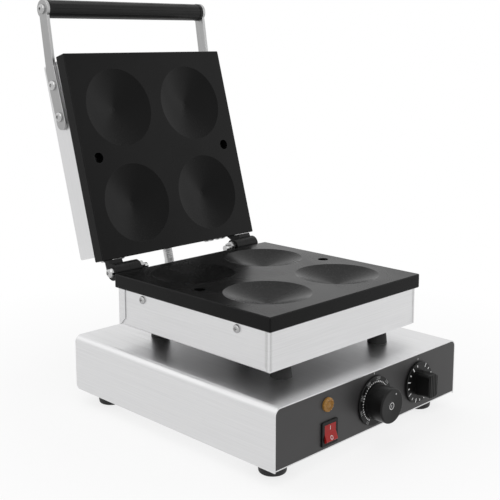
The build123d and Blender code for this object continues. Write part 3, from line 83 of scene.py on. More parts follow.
class Grain(Enum):
    """Direction in which a brushed sheet was ground, as the cell of its noise in metres."""

    LENGTHWISE = (0.0009, 0.09, 0.0009)
    LEVEL = (0.07, 0.07, 0.0008)


class Lean(Enum):
    """How the grain of a piece is turned about X: upright pieces, or pieces of the open lid."""

    UPRIGHT = 0.0
    LID = -OPEN_ANGLE


@dataclass
class Wiring:
    """Places and joins the nodes of one node tree."""

    tree: bpy.types.NodeTree

    def join(self, value: Socket, node: Node, name: str) -> None:
        """Link an output to the input of a name."""
        self.tree.links.new(value, node.inputs[name])

    def node(self, kind: str, inputs: dict | None = None, **settings: object) -> Node:
        """Add a node.

        Args:
            kind: Blender's name of the node type.
            inputs: socket names or indices, each with a value or an output socket.
            settings: attributes of the node.

        Returns:
            The new node.
        """
        made = self.tree.nodes.new(kind)
        for name, value in settings.items():
            setattr(made, name, value)
        for name, value in (inputs or {}).items():
            if isinstance(value, Socket):
                self.tree.links.new(value, made.inputs[name])
            else:
                made.inputs[name].default_value = value
        return made

    def math(self, operation: str, first: object, second: object) -> Socket:
        """Result of a Math node on two sockets or numbers."""
        return self.node("ShaderNodeMath", {0: first, 1: second}, operation=operation).outputs[0]

    def span(self, value: object, low: float, high: float, start: object, end: object) -> Socket:
        """Value mapped from low to high onto start to end, held at both ends.

        Args:
            value: socket to map.
            low: value that gives start.
            high: value that gives end.
            start: result at low.
            end: result at high.

        Returns:
            The mapped socket.
        """
        inputs = {"Value": value, "From Min": low, "From Max": high, "To Min": start, "To Max": end}
        return self.node("ShaderNodeMapRange", inputs, clamp=True).outputs["Result"]

    def mask(self, value: object, low: float = 0.3, high: float = 0.7) -> Socket:
        """Value mapped from low to high onto 0 to 1; most of a noise lies between 0.3 and 0.7."""
        return self.span(value, low, high, 0.0, 1.0)

    def mix(self, factor: object, first: object, second: object, share: float = 1.0) -> Socket:
        """Colour between two colours.

        Args:
            factor: socket from 0 to 1.
            first: colour or socket at 0.
            second: colour or socket at 1.
            share: how much of the second colour shows at 1.

        Returns:
            The mixed colour socket.
        """
        if share < 1.0:
            factor = self.math("MULTIPLY", factor, share)
        made = self.node("ShaderNodeMix", {0: factor}, data_type="RGBA")
        for index, value in ((6, first), (7, second)):
            if isinstance(value, Socket):
                self.tree.links.new(value, made.inputs[index])
            else:
                made.inputs[index].default_value = (*value, 1.0)
        return made.outputs[2]

    def place(self) -> Socket:
        """Place of the shaded point in the frame of its object."""
        return self.node("ShaderNodeTexCoord").outputs["Object"]

    def normal(self) -> Socket:
        """Normal of the shaded point, before any relief."""
        return self.node("ShaderNodeNewGeometry").outputs["Normal"]

    def noise(self, place: object, scale: object, detail: float, roughness: float = 0.5,
              distortion: float = 0.0) -> Socket:
        """Soft noise from 0 to 1.

        Args:
            place: where it is read.
            scale: cells in a metre of the place.
            detail: finer layers on top of the first.
            roughness: how strong these are.
            distortion: how far they push each other.

        Returns:
            The noise socket.
        """
        look = {"Detail": detail, "Roughness": roughness, "Distortion": distortion}
        return self.node("ShaderNodeTexNoise", {"Vector": place, "Scale": scale, **look}).outputs[0]

    def seen(self) -> Socket:
        """Tell the rays that see a place directly, in gloss or through glass.

        Returns:
            Socket of 1 for these rays and 0 for all others.
        """
        path = self.node("ShaderNodeLightPath").outputs
        direct = self.math("MAXIMUM", path["Is Camera Ray"], path["Is Glossy Ray"])
        return self.math("MAXIMUM", direct, path["Is Transmission Ray"])


@dataclass(frozen=True)
class Port:
    """A socket of a node group: its name, kind and first value."""

    name: str
    kind: str = "NodeSocketFloat"
    value: object = None


class Effects:
    """Node groups that several finishes share, each built once."""

    def __init__(self) -> None:
        """Start with no groups built."""
        self.made: dict[str, bpy.types.NodeTree] = {}

    def start(self, name: str, entries: list[Port], exits: list[Port]) -> tuple[Wiring, Node, Node]:
        """Make an empty group with its sockets.

        Args:
            name: name of the group.
            entries: its inputs.
            exits: its outputs.

        Returns:
            The wiring, the input node and the output node.
        """
        tree = bpy.data.node_groups.new(name, "ShaderNodeTree")
        for ports, way in ((entries, "INPUT"), (exits, "OUTPUT")):
            for port in ports:
                socket = tree.interface.new_socket(port.name, in_out=way, socket_type=port.kind)
                if port.value is not None:
                    socket.default_value = port.value
        wiring = Wiring(tree)
        self.made[name] = tree
        return wiring, wiring.node("NodeGroupInput"), wiring.node("NodeGroupOutput")

    def use(self, wiring: Wiring, name: str, inputs: dict) -> bpy.types.bpy_prop_collection:
        """Place a group in a material.

        Args:
            wiring: the material's wiring.
            name: name of the group, which is also its builder's name.
            inputs: values or sockets of its inputs.

        Returns:
            The outputs of the group node, by name.
        """
        if name not in self.made:
            getattr(self, name)()
        return wiring.node("ShaderNodeGroup", inputs, node_tree=self.made[name]).outputs

    def brushed_grain(self) -> None:
        """Fine parallel lines with soft bands, stretched along the direction of grinding."""
        cell = Port("Cell", "NodeSocketVector", (0.001, 0.08, 0.001))
        turn = Port("Turn", "NodeSocketVector", (0, 0, 0))
        wiring, entry, leave = self.start("brushed_grain", [cell, turn], [Port("Lines"), Port("Bands")])
        inputs = {"Vector": wiring.place(), "Rotation": entry.outputs["Turn"], "Scale": entry.outputs["Cell"]}
        mapped = wiring.node("ShaderNodeMapping", inputs, vector_type="TEXTURE").outputs[0]
        fine = wiring.noise(mapped, scale=1.0, detail=3.0, roughness=0.65)
        wide = wiring.noise(mapped, scale=0.13, detail=2.0)
        wiring.join(wiring.mask(fine), leave, "Lines")
        wiring.join(wiring.mask(wide), leave, "Bands")

    def edge_wear_and_highlight(self) -> None:
        """Mask of the outer edges, broken up by noise."""
        entries = [Port("Radius", value=0.0006), Port("Breakup", value=0.5)]
        wiring, entry, leave = self.start("edge_wear_and_highlight", entries, [Port("Edge")])
        soft = wiring.node("ShaderNodeBevel", {"Radius": entry.outputs["Radius"]}, samples=4).outputs[0]
        inputs = {0: wiring.normal(), 1: soft}
        dot = wiring.node("ShaderNodeVectorMath", inputs, operation="DOT_PRODUCT").outputs["Value"]
        edge = wiring.mask(dot, low=0.995, high=0.86)
        noise = wiring.noise(wiring.place(), scale=180.0, detail=3.0)
        kept = wiring.math("SUBTRACT", 1.0, entry.outputs["Breakup"])
        broken = wiring.span(noise, low=0.35, high=0.65, start=kept, end=1.0)
        wiring.join(wiring.math("MULTIPLY", edge, broken), leave, "Edge")

    def handling(self) -> None:
        """Broad soft patches where a surface was touched and wiped, and specks of dust on upward faces."""
        exits = [Port("Patches"), Port("Dust")]
        wiring, entry, leave = self.start("handling", [Port("Scale", value=18.0)], exits)
        place = wiring.place()
        patches = wiring.noise(place, entry.outputs["Scale"], detail=2.0, distortion=0.6)
        wiring.join(wiring.mask(patches, low=0.35, high=0.68), leave, "Patches")
        up = wiring.node("ShaderNodeSeparateXYZ", {0: wiring.normal()}).outputs["Z"]
        level = wiring.mask(up, low=0.4, high=1.0)
        specks = wiring.mask(wiring.noise(place, scale=900.0, detail=2.0), low=0.56, high=0.7)
        wiring.join(wiring.math("MULTIPLY", level, specks), leave, "Dust")

    def fine_texture(self) -> None:
        """Even moulded or cast texture as a height, with slow colour drift."""
        entries = [Port("Scale", value=1500.0), Port("Pits", value=0.4)]
        wiring, entry, leave = self.start("fine_texture", entries, [Port("Height"), Port("Drift")])
        place = wiring.place()
        scale = entry.outputs["Scale"]
        cells = wiring.node("ShaderNodeTexVoronoi", {"Vector": place, "Scale": scale}).outputs[0]
        pitted = wiring.math("MULTIPLY", cells, entry.outputs["Pits"])
        grains = wiring.noise(place, scale, detail=3.0)
        wiring.join(wiring.math("ADD", grains, pitted), leave, "Height")
        slow = wiring.noise(place, scale=25.0, detail=4.0)
        wiring.join(wiring.mask(slow), leave, "Drift")


EFFECTS = Effects()


@dataclass(frozen=True)
class Finish:
    """What every finish has: name, base colour, least and most roughness, strength and depth of relief."""

    name: str
    colour: Colour
    rough: tuple[float, float] = (0.4, 0.5)
    relief: float = 0.2
    depth: float = 0.00006

    def build(self) -> bpy.types.Material:
        """Make the finish, or find it.

        Returns:
            The material.
        """
        found = bpy.data.materials.get(self.name)
        if found is not None:
            return found
        material = bpy.data.materials.new(self.name)
        material.use_nodes = True
        material.node_tree.nodes.clear()
        wiring = Wiring(material.node_tree)
        shader = wiring.node("ShaderNodeBsdfPrincipled")
        leave = wiring.node("ShaderNodeOutputMaterial")
        wiring.join(shader.outputs[0], leave, "Surface")
        self.wire(wiring, shader)
        material.diffuse_color = (*self.colour, 1.0)
        return material

    def wire(self, wiring: Wiring, shader: Node) -> None:
        """Join this finish's own nodes to its shader.

        Args:
            wiring: the material's wiring.
            shader: the Principled node.
        """
        raise NotImplementedError

    def dull(self, wiring: Wiring, mask: Socket) -> Socket:
        """Roughness from the smoothest to the roughest place, by a mask."""
        return wiring.span(mask, 0.0, 1.0, *self.rough)

    def cover(self, wiring: Wiring, shader: Node, colour: Socket, rough: Socket, height: Socket) -> None:
        """Join what varies over the surface to the shader.

        Args:
            wiring: the material's wiring.
            shader: the Principled node.
            colour: base colour.
            rough: roughness.
            height: height of the relief from 0 to 1.
        """
        wiring.join(colour, shader, "Base Color")
        wiring.join(rough, shader, "Roughness")
        inputs = {"Height": height, "Distance": self.depth, "Strength": self.relief}
        wiring.join(wiring.node("ShaderNodeBump", inputs).outputs[0], shader, "Normal")


@dataclass(frozen=True)
class BrushedSteel(Finish):
    """Fine brushed sheet: lines in the grain, a few wiped patches and bright edges."""

    grain: Grain = Grain.LENGTHWISE
    lean: Lean = Lean.UPRIGHT
    smear: float = 0.05

    def wire(self, wiring: Wiring, shader: Node) -> None:
        """Join the grain, patches and edges to the shader."""
        turn = (self.lean.value, 0.0, 0.0)
        grain = EFFECTS.use(wiring, "brushed_grain", {"Cell": self.grain.value, "Turn": turn})
        hands = EFFECTS.use(wiring, "handling", {"Scale": 9.0})
        edges = EFFECTS.use(wiring, "edge_wear_and_highlight", {"Radius": 0.0005, "Breakup": 0.25})
        dark, pale = shade(self.colour, factor=0.95), shade(self.colour, factor=1.03)
        lines = wiring.mix(grain["Lines"], dark, pale)
        banded = wiring.mix(grain["Bands"], lines, self.colour, share=0.35)
        edged = wiring.mix(edges["Edge"], banded, grey(0.86), share=0.45)
        smooth, dull = self.rough
        ground = wiring.span(grain["Lines"], 0.0, 1.0, dull, smooth)
        touched = wiring.math("MULTIPLY", hands["Patches"], self.smear)
        self.cover(wiring, shader, edged, wiring.math("ADD", ground, touched), grain["Lines"])
        shader.inputs["Metallic"].default_value = 1.0


@dataclass(frozen=True)
class BareMetal(Finish):
    """Turned or plated metal without a direction: fine tool marks, darker hollows and bright edges."""

    depth: float = 0.00005
    tint: Colour = grey(0.5)
    scale: float = 700.0

    def wire(self, wiring: Wiring, shader: Node) -> None:
        """Join the tool marks and edges to the shader."""
        marks = EFFECTS.use(wiring, "fine_texture", {"Scale": self.scale, "Pits": 0.25})
        edges = EFFECTS.use(wiring, "edge_wear_and_highlight", {"Radius": 0.0004, "Breakup": 0.3})
        body = wiring.mix(marks["Drift"], self.tint, self.colour)
        edged = wiring.mix(edges["Edge"], body, shade(self.colour, factor=1.15, lift=0.05))
        self.cover(wiring, shader, edged, self.dull(wiring, marks["Drift"]), marks["Height"])
        shader.inputs["Metallic"].default_value = 1.0


@dataclass(frozen=True)
class HeatedSteel(Finish):
    """Dull steel tube with straw and blue tints from heat."""

    depth: float = 0.00008
    straw: Colour = (0.42, 0.33, 0.2)
    blue: Colour = (0.16, 0.18, 0.24)

    def wire(self, wiring: Wiring, shader: Node) -> None:
        """Join the tints to the shader."""
        marks = EFFECTS.use(wiring, "fine_texture", {"Scale": 500.0, "Pits": 0.3})
        hands = EFFECTS.use(wiring, "handling", {"Scale": 30.0})
        tinted = wiring.mix(marks["Drift"], self.blue, self.straw)
        body = wiring.mix(hands["Patches"], self.colour, tinted, share=0.6)
        self.cover(wiring, shader, body, self.dull(wiring, marks["Drift"]), marks["Height"])
        shader.inputs["Metallic"].default_value = 1.0


@dataclass(frozen=True)
class OpaqueCoat(Finish):
    """What coats, paints and plastics share: even texture, tone drift, some dust and paler edges, which are
    rubbed wear and, on the coated plate, a painted highlight on the rims.
    """

    scale: float = 1300.0
    pits: float = 0.5
    wipe: float = 14.0
    edge_radius: float = 0.0005
    breakup: float = 0.5
    dark: float = 0.8
    dust: float = 0.1
    dust_level: float = 0.4
    rub: Colour = grey(0.1)
    rub_and_highlight_share: float = 0.7
    specular: float = 0.5

    def rub_and_highlight_colour(self) -> Colour:
        """Colour of the paler edges: rubbed wear, and on the coated plate a painted highlight."""
        return self.rub

    def wire(self, wiring: Wiring, shader: Node) -> None:
        """Join the texture, the dust and the edges to the shader."""
        texture = EFFECTS.use(wiring, "fine_texture", {"Scale": self.scale, "Pits": self.pits})
        hands = EFFECTS.use(wiring, "handling", {"Scale": self.wipe})
        edges = EFFECTS.use(wiring, "edge_wear_and_highlight", {"Radius": self.edge_radius, "Breakup": self.breakup})
        body = wiring.mix(texture["Drift"], shade(self.colour, self.dark), self.colour)
        dusted = wiring.mix(hands["Dust"], body, grey(self.dust_level), self.dust)
        # Paler edges: rubbed wear on paint and plastic; on the coated plate, a painted highlight on the dish
        # rims.
        rubbed_and_highlit = wiring.mix(edges["Edge"], dusted, self.rub_and_highlight_colour(), self.rub_and_highlight_share)
        self.cover(wiring, shader, rubbed_and_highlit, self.dull(wiring, hands["Patches"]), texture["Height"])
        shader.inputs["Specular IOR Level"].default_value = self.specular


@dataclass(frozen=True)
class CoatedCast(OpaqueCoat):
    """Black non-stick coat on a cast plate: fine pebble, slow tone drift, and paler rims that are a painted
    highlight, broken up like rubbed coat.
    """

    edge_radius: float = 0.0009
    dark: float = 0.75
    dust: float = 0.12
    dust_level: float = 0.3
    # Paler rim colour: a painted highlight along the rims of the dishes.
    rub: Colour = (0.05, 0.05, 0.051)
    rub_and_highlight_share: float = 0.6
    specular: float = 0.1


@dataclass(frozen=True)
class SatinPaint(OpaqueCoat):
    """Satin paint on sheet or forged steel: shallow orange peel, paler edges, a little dust."""

    depth: float = 0.0001
    scale: float = 650.0
    pits: float = 0.15
    wipe: float = 12.0
    breakup: float = 0.6
    dark: float = 0.88


@dataclass(frozen=True)
class Moulded(OpaqueCoat):
    """Moulded plastic or rubber: fine spark texture, tone drift, dust on the upward faces."""

    pits: float = 0.6
    wipe: float = 40.0
    breakup: float = 0.4
    dust_level: float = 0.42
    rub_and_highlight_share: float = 0.5

    def rub_and_highlight_colour(self) -> Colour:
        """A paler tone of the same plastic."""
        return shade(self.colour, factor=1.5, lift=0.02)


@dataclass(frozen=True)
class ClearPlastic(Finish):
    """Tinted translucent plastic over a lit inside: depth tint, flow lines and a soft glow."""

    depth: float = 0.00004
    deep: Colour = (0.3, 0.01, 0.01)
    glow: float = 0.05
    coat: float = 0.5
    coat_rough: float = 0.06
    specular: float = 0.25

    def wire(self, wiring: Wiring, shader: Node) -> None:
        """Join the tint, flow lines and glow to the shader."""
        flow = EFFECTS.use(wiring, "brushed_grain", {"Cell": (0.004, 0.02, 0.009), "Turn": (0.0, 0.0, 0.3)})
        flaws = EFFECTS.use(wiring, "fine_texture", {"Scale": 900.0, "Pits": 0.2})
        edges = EFFECTS.use(wiring, "edge_wear_and_highlight", {"Radius": 0.0006, "Breakup": 0.1})
        body = wiring.mix(flow["Bands"], self.colour, self.deep, share=0.45)
        tinted = wiring.mix(edges["Edge"], body, shade(self.colour, factor=1.25, lift=0.06), share=0.7)
        self.cover(wiring, shader, tinted, self.dull(wiring, flaws["Drift"]), flaws["Height"])
        wiring.join(tinted, shader, "Emission Color")
        shader.inputs["Emission Strength"].default_value = self.glow
        shader.inputs["Specular IOR Level"].default_value = self.specular
        shader.inputs["Coat Weight"].default_value = self.coat
        shader.inputs["Coat Roughness"].default_value = self.coat_rough


@dataclass(frozen=True)
class Fibrous(Finish):
    """Pressed mineral fibre: short crossed fibres with loose shading between them."""

    depth: float = 0.0005
    shadow: Colour = (0.5, 0.47, 0.38)

    def wire(self, wiring: Wiring, shader: Node) -> None:
        """Join two crossed fibre layers to the shader."""
        layers = []
        for cell, turn in (((0.0006, 0.008, 0.0008), 0.5), ((0.008, 0.0006, 0.0008), 0.2)):
            inputs = {"Cell": cell, "Turn": (0.0, 0.0, turn)}
            layers.append(EFFECTS.use(wiring, "brushed_grain", inputs)["Lines"])
        fibres = wiring.math("MAXIMUM", *layers)
        tone = wiring.mix(fibres, self.shadow, self.colour)
        self.cover(wiring, shader, tone, self.dull(wiring, fibres), fibres)


@dataclass(frozen=True)
class PrintInk(Finish):
    """Printed or filled marks: slightly uneven ink."""

    rough: tuple[float, float] = (0.5, 0.6)
    relief: float = 0.1
    depth: float = 0.00002
    thin: Colour = grey(0.6)

    def wire(self, wiring: Wiring, shader: Node) -> None:
        """Join the uneven ink to the shader."""
        ink = EFFECTS.use(wiring, "fine_texture", {"Scale": 2600.0, "Pits": 0.4})
        tone = wiring.mix(ink["Drift"], self.thin, self.colour)
        self.cover(wiring, shader, tone, self.dull(wiring, ink["Drift"]), ink["Height"])


STEEL_COLOUR = (0.7, 0.7, 0.705)
SHEET = BrushedSteel("brushed_sheet_lengthwise", STEEL_COLOUR, (0.27, 0.36), 0.12)
SHEET_LEVEL = BrushedSteel("brushed_sheet_level", STEEL_COLOUR, (0.3, 0.4), 0.12, grain=Grain.LEVEL)
SHEET_LID = BrushedSteel("brushed_sheet_lid", STEEL_COLOUR, (0.3, 0.4), 0.12, grain=Grain.LEVEL,
                         lean=Lean.LID)
ARM_STEEL = BrushedSteel("brushed_arm", grey(0.38), (0.32, 0.42), 0.14, lean=Lean.LID)
FOLD_STEEL = BrushedSteel("brushed_fold", grey(0.6), (0.34, 0.44), 0.12, grain=Grain.LEVEL)
HOSE_STEEL = BareMetal("plated_hose", grey(0.62), (0.24, 0.36), 0.15, tint=grey(0.45), scale=500.0)
DARK_SCREW = BareMetal("burnt_screw", grey(0.03), (0.4, 0.55), 0.15, tint=grey(0.015))
WHITE_INK = PrintInk("white_ink", grey(0.85), thin=grey(0.68))
GREY_INK = PrintInk("grey_ink", grey(0.42), thin=grey(0.3))

SLOT_FINISHES: dict[str, Finish] = {
    "stainless": SHEET,
    "non_stick": CoatedCast("non_stick_coat", grey(0.0045), (0.22, 0.3), 0.12),
    "panel_black": SatinPaint("satin_panel", (0.026, 0.025, 0.0255), (0.4, 0.48), 0.1),
    "hinge_black": SatinPaint("painted_hinge", grey(0.004), (0.3, 0.4), 0.25, scale=450.0, rub=grey(0.03),
                              specular=0.15),
    "screw_steel": BareMetal("plated_screw", grey(0.48), (0.2, 0.32), 0.15, tint=grey(0.36)),
    "bright_bolt": BareMetal("polished_bolt", grey(0.5), (0.14, 0.24), 0.08, tint=grey(0.4)),
    "element_steel": HeatedSteel("heated_tube", grey(0.3), (0.4, 0.55), 0.2),
    "mineral_wool": Fibrous("mineral_fibre", (0.82, 0.8, 0.72), (0.85, 0.95), 0.6),
    "rubber_black": Moulded("foot_rubber", grey(0.02), (0.55, 0.7), 0.3, scale=900.0, dust=0.2,
                            specular=0.35),
    "knob_black": Moulded("knob_plastic", grey(0.005), (0.3, 0.42), 0.15, scale=1800.0, dust=0.05,
                          specular=0.2),
    "control_body": Moulded("phenolic_body", (0.5, 0.44, 0.35), (0.4, 0.55), 0.2, scale=1200.0),
    "porcelain": Moulded("terminal_porcelain", (0.85, 0.83, 0.77), (0.3, 0.45), 0.1, scale=800.0, dust=0.0),
    "copper_tube": BareMetal("drawn_copper", (0.75, 0.42, 0.28), (0.25, 0.4), 0.1, tint=(0.5, 0.26, 0.16),
                             scale=400.0),
    "rocker_red": ClearPlastic("rocker_plastic", (0.38, 0.012, 0.01), (0.3, 0.4), 0.1,
                               deep=(0.2, 0.004, 0.004), glow=0.07, coat=0.0),
    "lamp_amber": ClearPlastic("lamp_plastic", (0.34, 0.17, 0.03), (0.2, 0.3), 0.1,
                               deep=(0.12, 0.05, 0.008), coat=0.15),
}

NODE_FINISHES: dict[str, Finish] = {
    "lid_plate_screws": DARK_SCREW,
    "lower_plate_screws": DARK_SCREW,
    "lower_housing": SHEET_LEVEL,
    "lower_housing_back": SHEET_LEVEL,
    "base_rear_panel": SHEET_LEVEL,
    "lid_housing": SHEET_LID,
    "handle_arm_left": ARM_STEEL,
    "handle_arm_right": ARM_STEEL,
}


def dress_nodes() -> None:
    """Give every CAD node its finish, from its own entry or its material slot."""
    slots = {part["node"]: part["material_slot"] for part in frame["record"]["subparts"]}
    for name, node in frame["nodes"].items():
        finish = NODE_FINISHES.get(name, SLOT_FINISHES[slots[name]])
        node.data.materials.clear()
        node.data.materials.append(finish.build())
        log.info("%s is finished in %s", name, finish.name)


def new_object(name: str, mesh: bpy.types.Mesh, finish: Finish) -> bpy.types.Object:
    """A mesh as a piece of the scene in its finish.

    Args:
        name: name of the piece.
        mesh: its mesh, in the frame of the part.
        finish: its finish.

    Returns:
        The new object.
    """
    made = bpy.data.objects.new(name, mesh)
    bpy.context.scene.collection.objects.link(made)
    mesh.materials.clear()
    mesh.materials.append(finish.build())
    return made


def new_mesh(name: str, shapes: bmesh.types.BMesh) -> bpy.types.Mesh:
    """Turn built shapes into a mesh, and free them.

    Args:
        name: name of the mesh.
        shapes: the shapes.

    Returns:
        The mesh.
    """
    mesh = bpy.data.meshes.new(name)
    shapes.to_mesh(mesh)
    shapes.free()
    return mesh


def mesh_of_curve(curve: bpy.types.Curve) -> bpy.types.Mesh:
    """Turn a curve or a text into a mesh, and remove the curve.

    Args:
        curve: the curve or text.

    Returns:
        The mesh.
    """
    holder = bpy.data.objects.new(curve.name, curve)
    mesh = bpy.data.meshes.new_from_object(holder)
    bpy.data.objects.remove(holder)
    bpy.data.curves.remove(curve)
    return mesh


def skin(name: str, rows: list[list[Vector]]) -> bpy.types.Mesh:
    """Closed tube through rings of points.

    Args:
        name: name of the mesh.
        rows: the rings, with the same number of points in each.

    Returns:
        The mesh, with a face over each end.
    """
    shapes = bmesh.new()
    rings = [[shapes.verts.new(point) for point in row] for row in rows]
    for first, second in zip(rings, rings[1:]):
        for step in range(len(first)):
            after = (step + 1) % len(first)
            shapes.faces.new((first[step], first[after], second[after], second[step]))
    shapes.faces.new(rings[0])
    shapes.faces.new(rings[-1])
    bmesh.ops.recalc_face_normals(shapes, faces=shapes.faces)
    return new_mesh(name, shapes)


def middle_of(node: str) -> tuple[float, float]:
    """X and Z of the middle of a node's box."""
    low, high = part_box(node)
    return ((low.x + high.x) / 2, (low.z + high.z) / 2)


def polar(centre: tuple[float, float], radius: float, angle: float) -> tuple[float, float]:
    """X and Z of a point round a centre, with the angle from Z towards X."""
    return (centre[0] + radius * math.sin(angle), centre[1] + radius * math.cos(angle))


def spread(first: float, last: float, count: int) -> list[float]:
    """Evenly spaced angles in radians, from the first to the last in degrees."""
    return [math.radians(first + (last - first) * step / (count - 1)) for step in range(count)]


@dataclass
class MarkSheet:
    """Printed marks gathered in one mesh and laid on the front of a CAD node.

    The marks are cast from reach in front of the node and end lift over its surface. capital is the height
    of a capital letter as a share of the size of the text.
    """

    name: str
    node: str
    body: str
    slot: str
    finish: Finish = WHITE_INK
    lift: float = 0.00006
    reach: float = 0.01
    capital: float = 0.7
    bar_steps: int = 4
    ring_steps: int = 48
    dot_sides: int = 12
    shapes: bmesh.types.BMesh = field(default_factory=bmesh.new)

    def vertex(self, place: tuple[float, float]) -> bmesh.types.BMVert:
        """Add a vertex at X and Z, to be laid on the node later."""
        return self.shapes.verts.new((place[0], 0.0, place[1]))

    def bar(self, centre: tuple[float, float], length: float, width: float, angle: float = 0.0) -> None:
        """Add a bar.

        Args:
            centre: X and Z of its middle.
            length: its length.
            width: its width.
            angle: turn of its length from Z towards X, in radians.
        """
        rows = []
        for step in range(self.bar_steps + 1):
            base = polar(centre, length * (step / self.bar_steps - 0.5), angle)
            rows.append([self.vertex(polar(base, width * side, angle + math.pi / 2)) for side in (-0.5, 0.5)])
        for low, high in zip(rows, rows[1:]):
            self.shapes.faces.new((low[0], low[1], high[1], high[0]))

    def ring(self, centre: tuple[float, float], inner: float, outer: float) -> None:
        """Add a ring.

        Args:
            centre: X and Z of its middle.
            inner: inner radius.
            outer: outer radius.
        """
        rows = []
        for step in range(self.ring_steps + 1):
            angle = 2 * math.pi * step / self.ring_steps
            rows.append([self.vertex(polar(centre, radius, angle)) for radius in (inner, outer)])
        for low, high in zip(rows, rows[1:]):
            self.shapes.faces.new((low[0], high[0], high[1], low[1]))

    def dot(self, centre: tuple[float, float], radius: float) -> None:
        """Add a round dot of a radius at X and Z."""
        turns = [2 * math.pi * step / self.dot_sides for step in range(self.dot_sides)]
        self.shapes.faces.new([self.vertex(polar(centre, radius, turn)) for turn in turns])

    def words(self, text: str, centre: tuple[float, float], height: float, angle: float) -> None:
        """Add upright characters.

        Args:
            text: the characters.
            centre: X and Z of their middle.
            height: height of a capital.
            angle: turn about the middle, clockwise from the front.
        """
        curve = bpy.data.curves.new(self.name + "_text", "FONT")
        curve.body = text
        curve.align_x = "CENTER"
        curve.align_y = "CENTER"
        curve.size = height / self.capital
        curve.resolution_u = 3
        mesh = mesh_of_curve(curve)
        turn = Matrix.Rotation(angle, 4, "Y") @ Matrix.Rotation(math.pi / 2, 4, "X")
        mesh.transform(Matrix.Translation((centre[0], 0.0, centre[1])) @ turn)
        self.shapes.from_mesh(mesh)
        bpy.data.meshes.remove(mesh)

    def lay(self) -> bpy.types.Object:
        """Lay the marks on the node's front and make them a piece.

        Returns:
            The piece, riding on its body.
        """
        back = Vector((0.0, 1.0, 0.0))
        graph = bpy.context.evaluated_depsgraph_get()
        surface = BVHTree.FromObject(frame["nodes"][self.node], graph)
        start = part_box(self.node)[0].y - self.reach
        missed = []
        for vertex in self.shapes.verts:
            place, _, _, _ = surface.ray_cast(Vector((vertex.co.x, start, vertex.co.z)), back)
            if place is None:
                missed.append(vertex)
            else:
                vertex.co = place - back * self.lift
        bmesh.ops.delete(self.shapes, geom=missed, context="VERTS")
        bmesh.ops.recalc_face_normals(self.shapes, faces=self.shapes.faces)
        for face in self.shapes.faces:
            if face.normal.dot(back) > 0:
                face.normal_flip()
        piece = new_object(self.name, new_mesh(self.name, self.shapes), self.finish)
        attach(piece, self.body)
        log.info("%s laid on %s, %d vertices missed it", self.name, self.node, len(missed))
        return piece


@dataclass
class ThermostatMarks:
    """White dots and grey numbers round the thermostat dial, and the ring, bar and dot on its barrel."""

    dot_ring: float = 0.0212
    dot_radius: float = 0.0008
    dot_count: int = 26
    dots_a_step: int = 5
    step_growth: float = 1.25
    first_dot: float = -150.0
    last_dot: float = 52.0
    number_ring: float = 0.0246
    number_height: float = 0.0031
    numbers: tuple[int, ...] = (50, 100, 150, 200, 250, 300)
    first_number: float = -148.0
    last_number: float = 48.0
    cap_inner: float = 0.0032
    cap_outer: float = 0.0039
    cap_bar_length: float = 0.0032
    cap_bar_width: float = 0.0006
    pointer_ring: float = 0.0135
    pointer_angle: float = 28.0

    def build(self) -> None:
        """Lay the marks on the thermostat knob."""
        centre = middle_of("thermostat_knob")
        sheet = MarkSheet("thermostat_dots", "thermostat_knob", "thermostat_dial", "knob_black")
        for step, angle in enumerate(spread(self.first_dot, self.last_dot, self.dot_count)):
            growth = 1.0 if step % self.dots_a_step else self.step_growth
            sheet.dot(polar(centre, self.dot_ring, angle), self.dot_radius * growth)
        sheet.ring(centre, self.cap_inner, self.cap_outer)
        sheet.bar(centre, self.cap_bar_length, self.cap_bar_width)
        sheet.dot(polar(centre, self.pointer_ring, math.radians(self.pointer_angle)), self.dot_radius)
        sheet.lay()
        figures = MarkSheet("thermostat_numbers", "thermostat_knob", "thermostat_dial", "knob_black",
                            GREY_INK)
        angles = spread(self.first_number, self.last_number, len(self.numbers))
        for number, angle in zip(self.numbers, angles):
            figures.words(str(number), polar(centre, self.number_ring, angle), self.number_height, angle)
        figures.lay()


@dataclass
class TimerMarks:
    """White ticks round the timer dial, short and long in turn, in degrees to the left of its top."""

    tick_ring: float = 0.0205
    long_tick: float = 0.0048
    short_tick: float = 0.0026
    tick_width: float = 0.0012
    tick_count: int = 16
    first_tick: float = 14.0
    last_tick: float = 330.0

    def build(self) -> None:
        """Lay the ticks on the timer knob."""
        centre = middle_of("timer_knob")
        sheet = MarkSheet("timer_ticks", "timer_knob", "timer_dial", "knob_black")
        for step, angle in enumerate(spread(self.first_tick, self.last_tick, self.tick_count)):
            length = self.long_tick if step % 2 else self.short_tick
            sheet.bar(polar(centre, self.tick_ring, -angle), length, self.tick_width, -angle)
        sheet.lay()


@dataclass
class PanelMarks:
    """Index marks on the panel over the two dials."""

    index_gap: float = 0.0028
    index_length: float = 0.0022
    index_width: float = 0.0007

    def build(self) -> None:
        """Lay an index mark over each dial."""
        sheet = MarkSheet("panel_index_marks", "control_panel", "base", "panel_black")
        for node in ("thermostat_knob", "timer_knob"):
            x, _ = middle_of(node)
            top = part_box(node)[1].z
            sheet.bar((x, top + self.index_gap), self.index_length, self.index_width)
        sheet.lay()


@dataclass
class RockerMarks:
    """The bar and the ring moulded on the two halves of the rocker."""

    bar_length: float = 0.0042
    bar_width: float = 0.0007
    ring_inner: float = 0.0014
    ring_outer: float = 0.002
    rise: float = 0.0056
    drop: float = 0.0044

    def build(self) -> None:
        """Lay the two marks on the rocker."""
        x, z = middle_of("rocker")
        sheet = MarkSheet("rocker_marks", "rocker", "rocker_key", "rocker_red")
        sheet.bar((x, z + self.rise), self.bar_length, self.bar_width)
        sheet.ring((x, z - self.drop), self.ring_inner, self.ring_outer)
        sheet.lay()


@dataclass(frozen=True)
class LensRing:
    """A ring of the lamp's lens: its radius and depth as shares of the lens, and how deep its waves cut."""

    radius: float
    depth: float
    waves: float


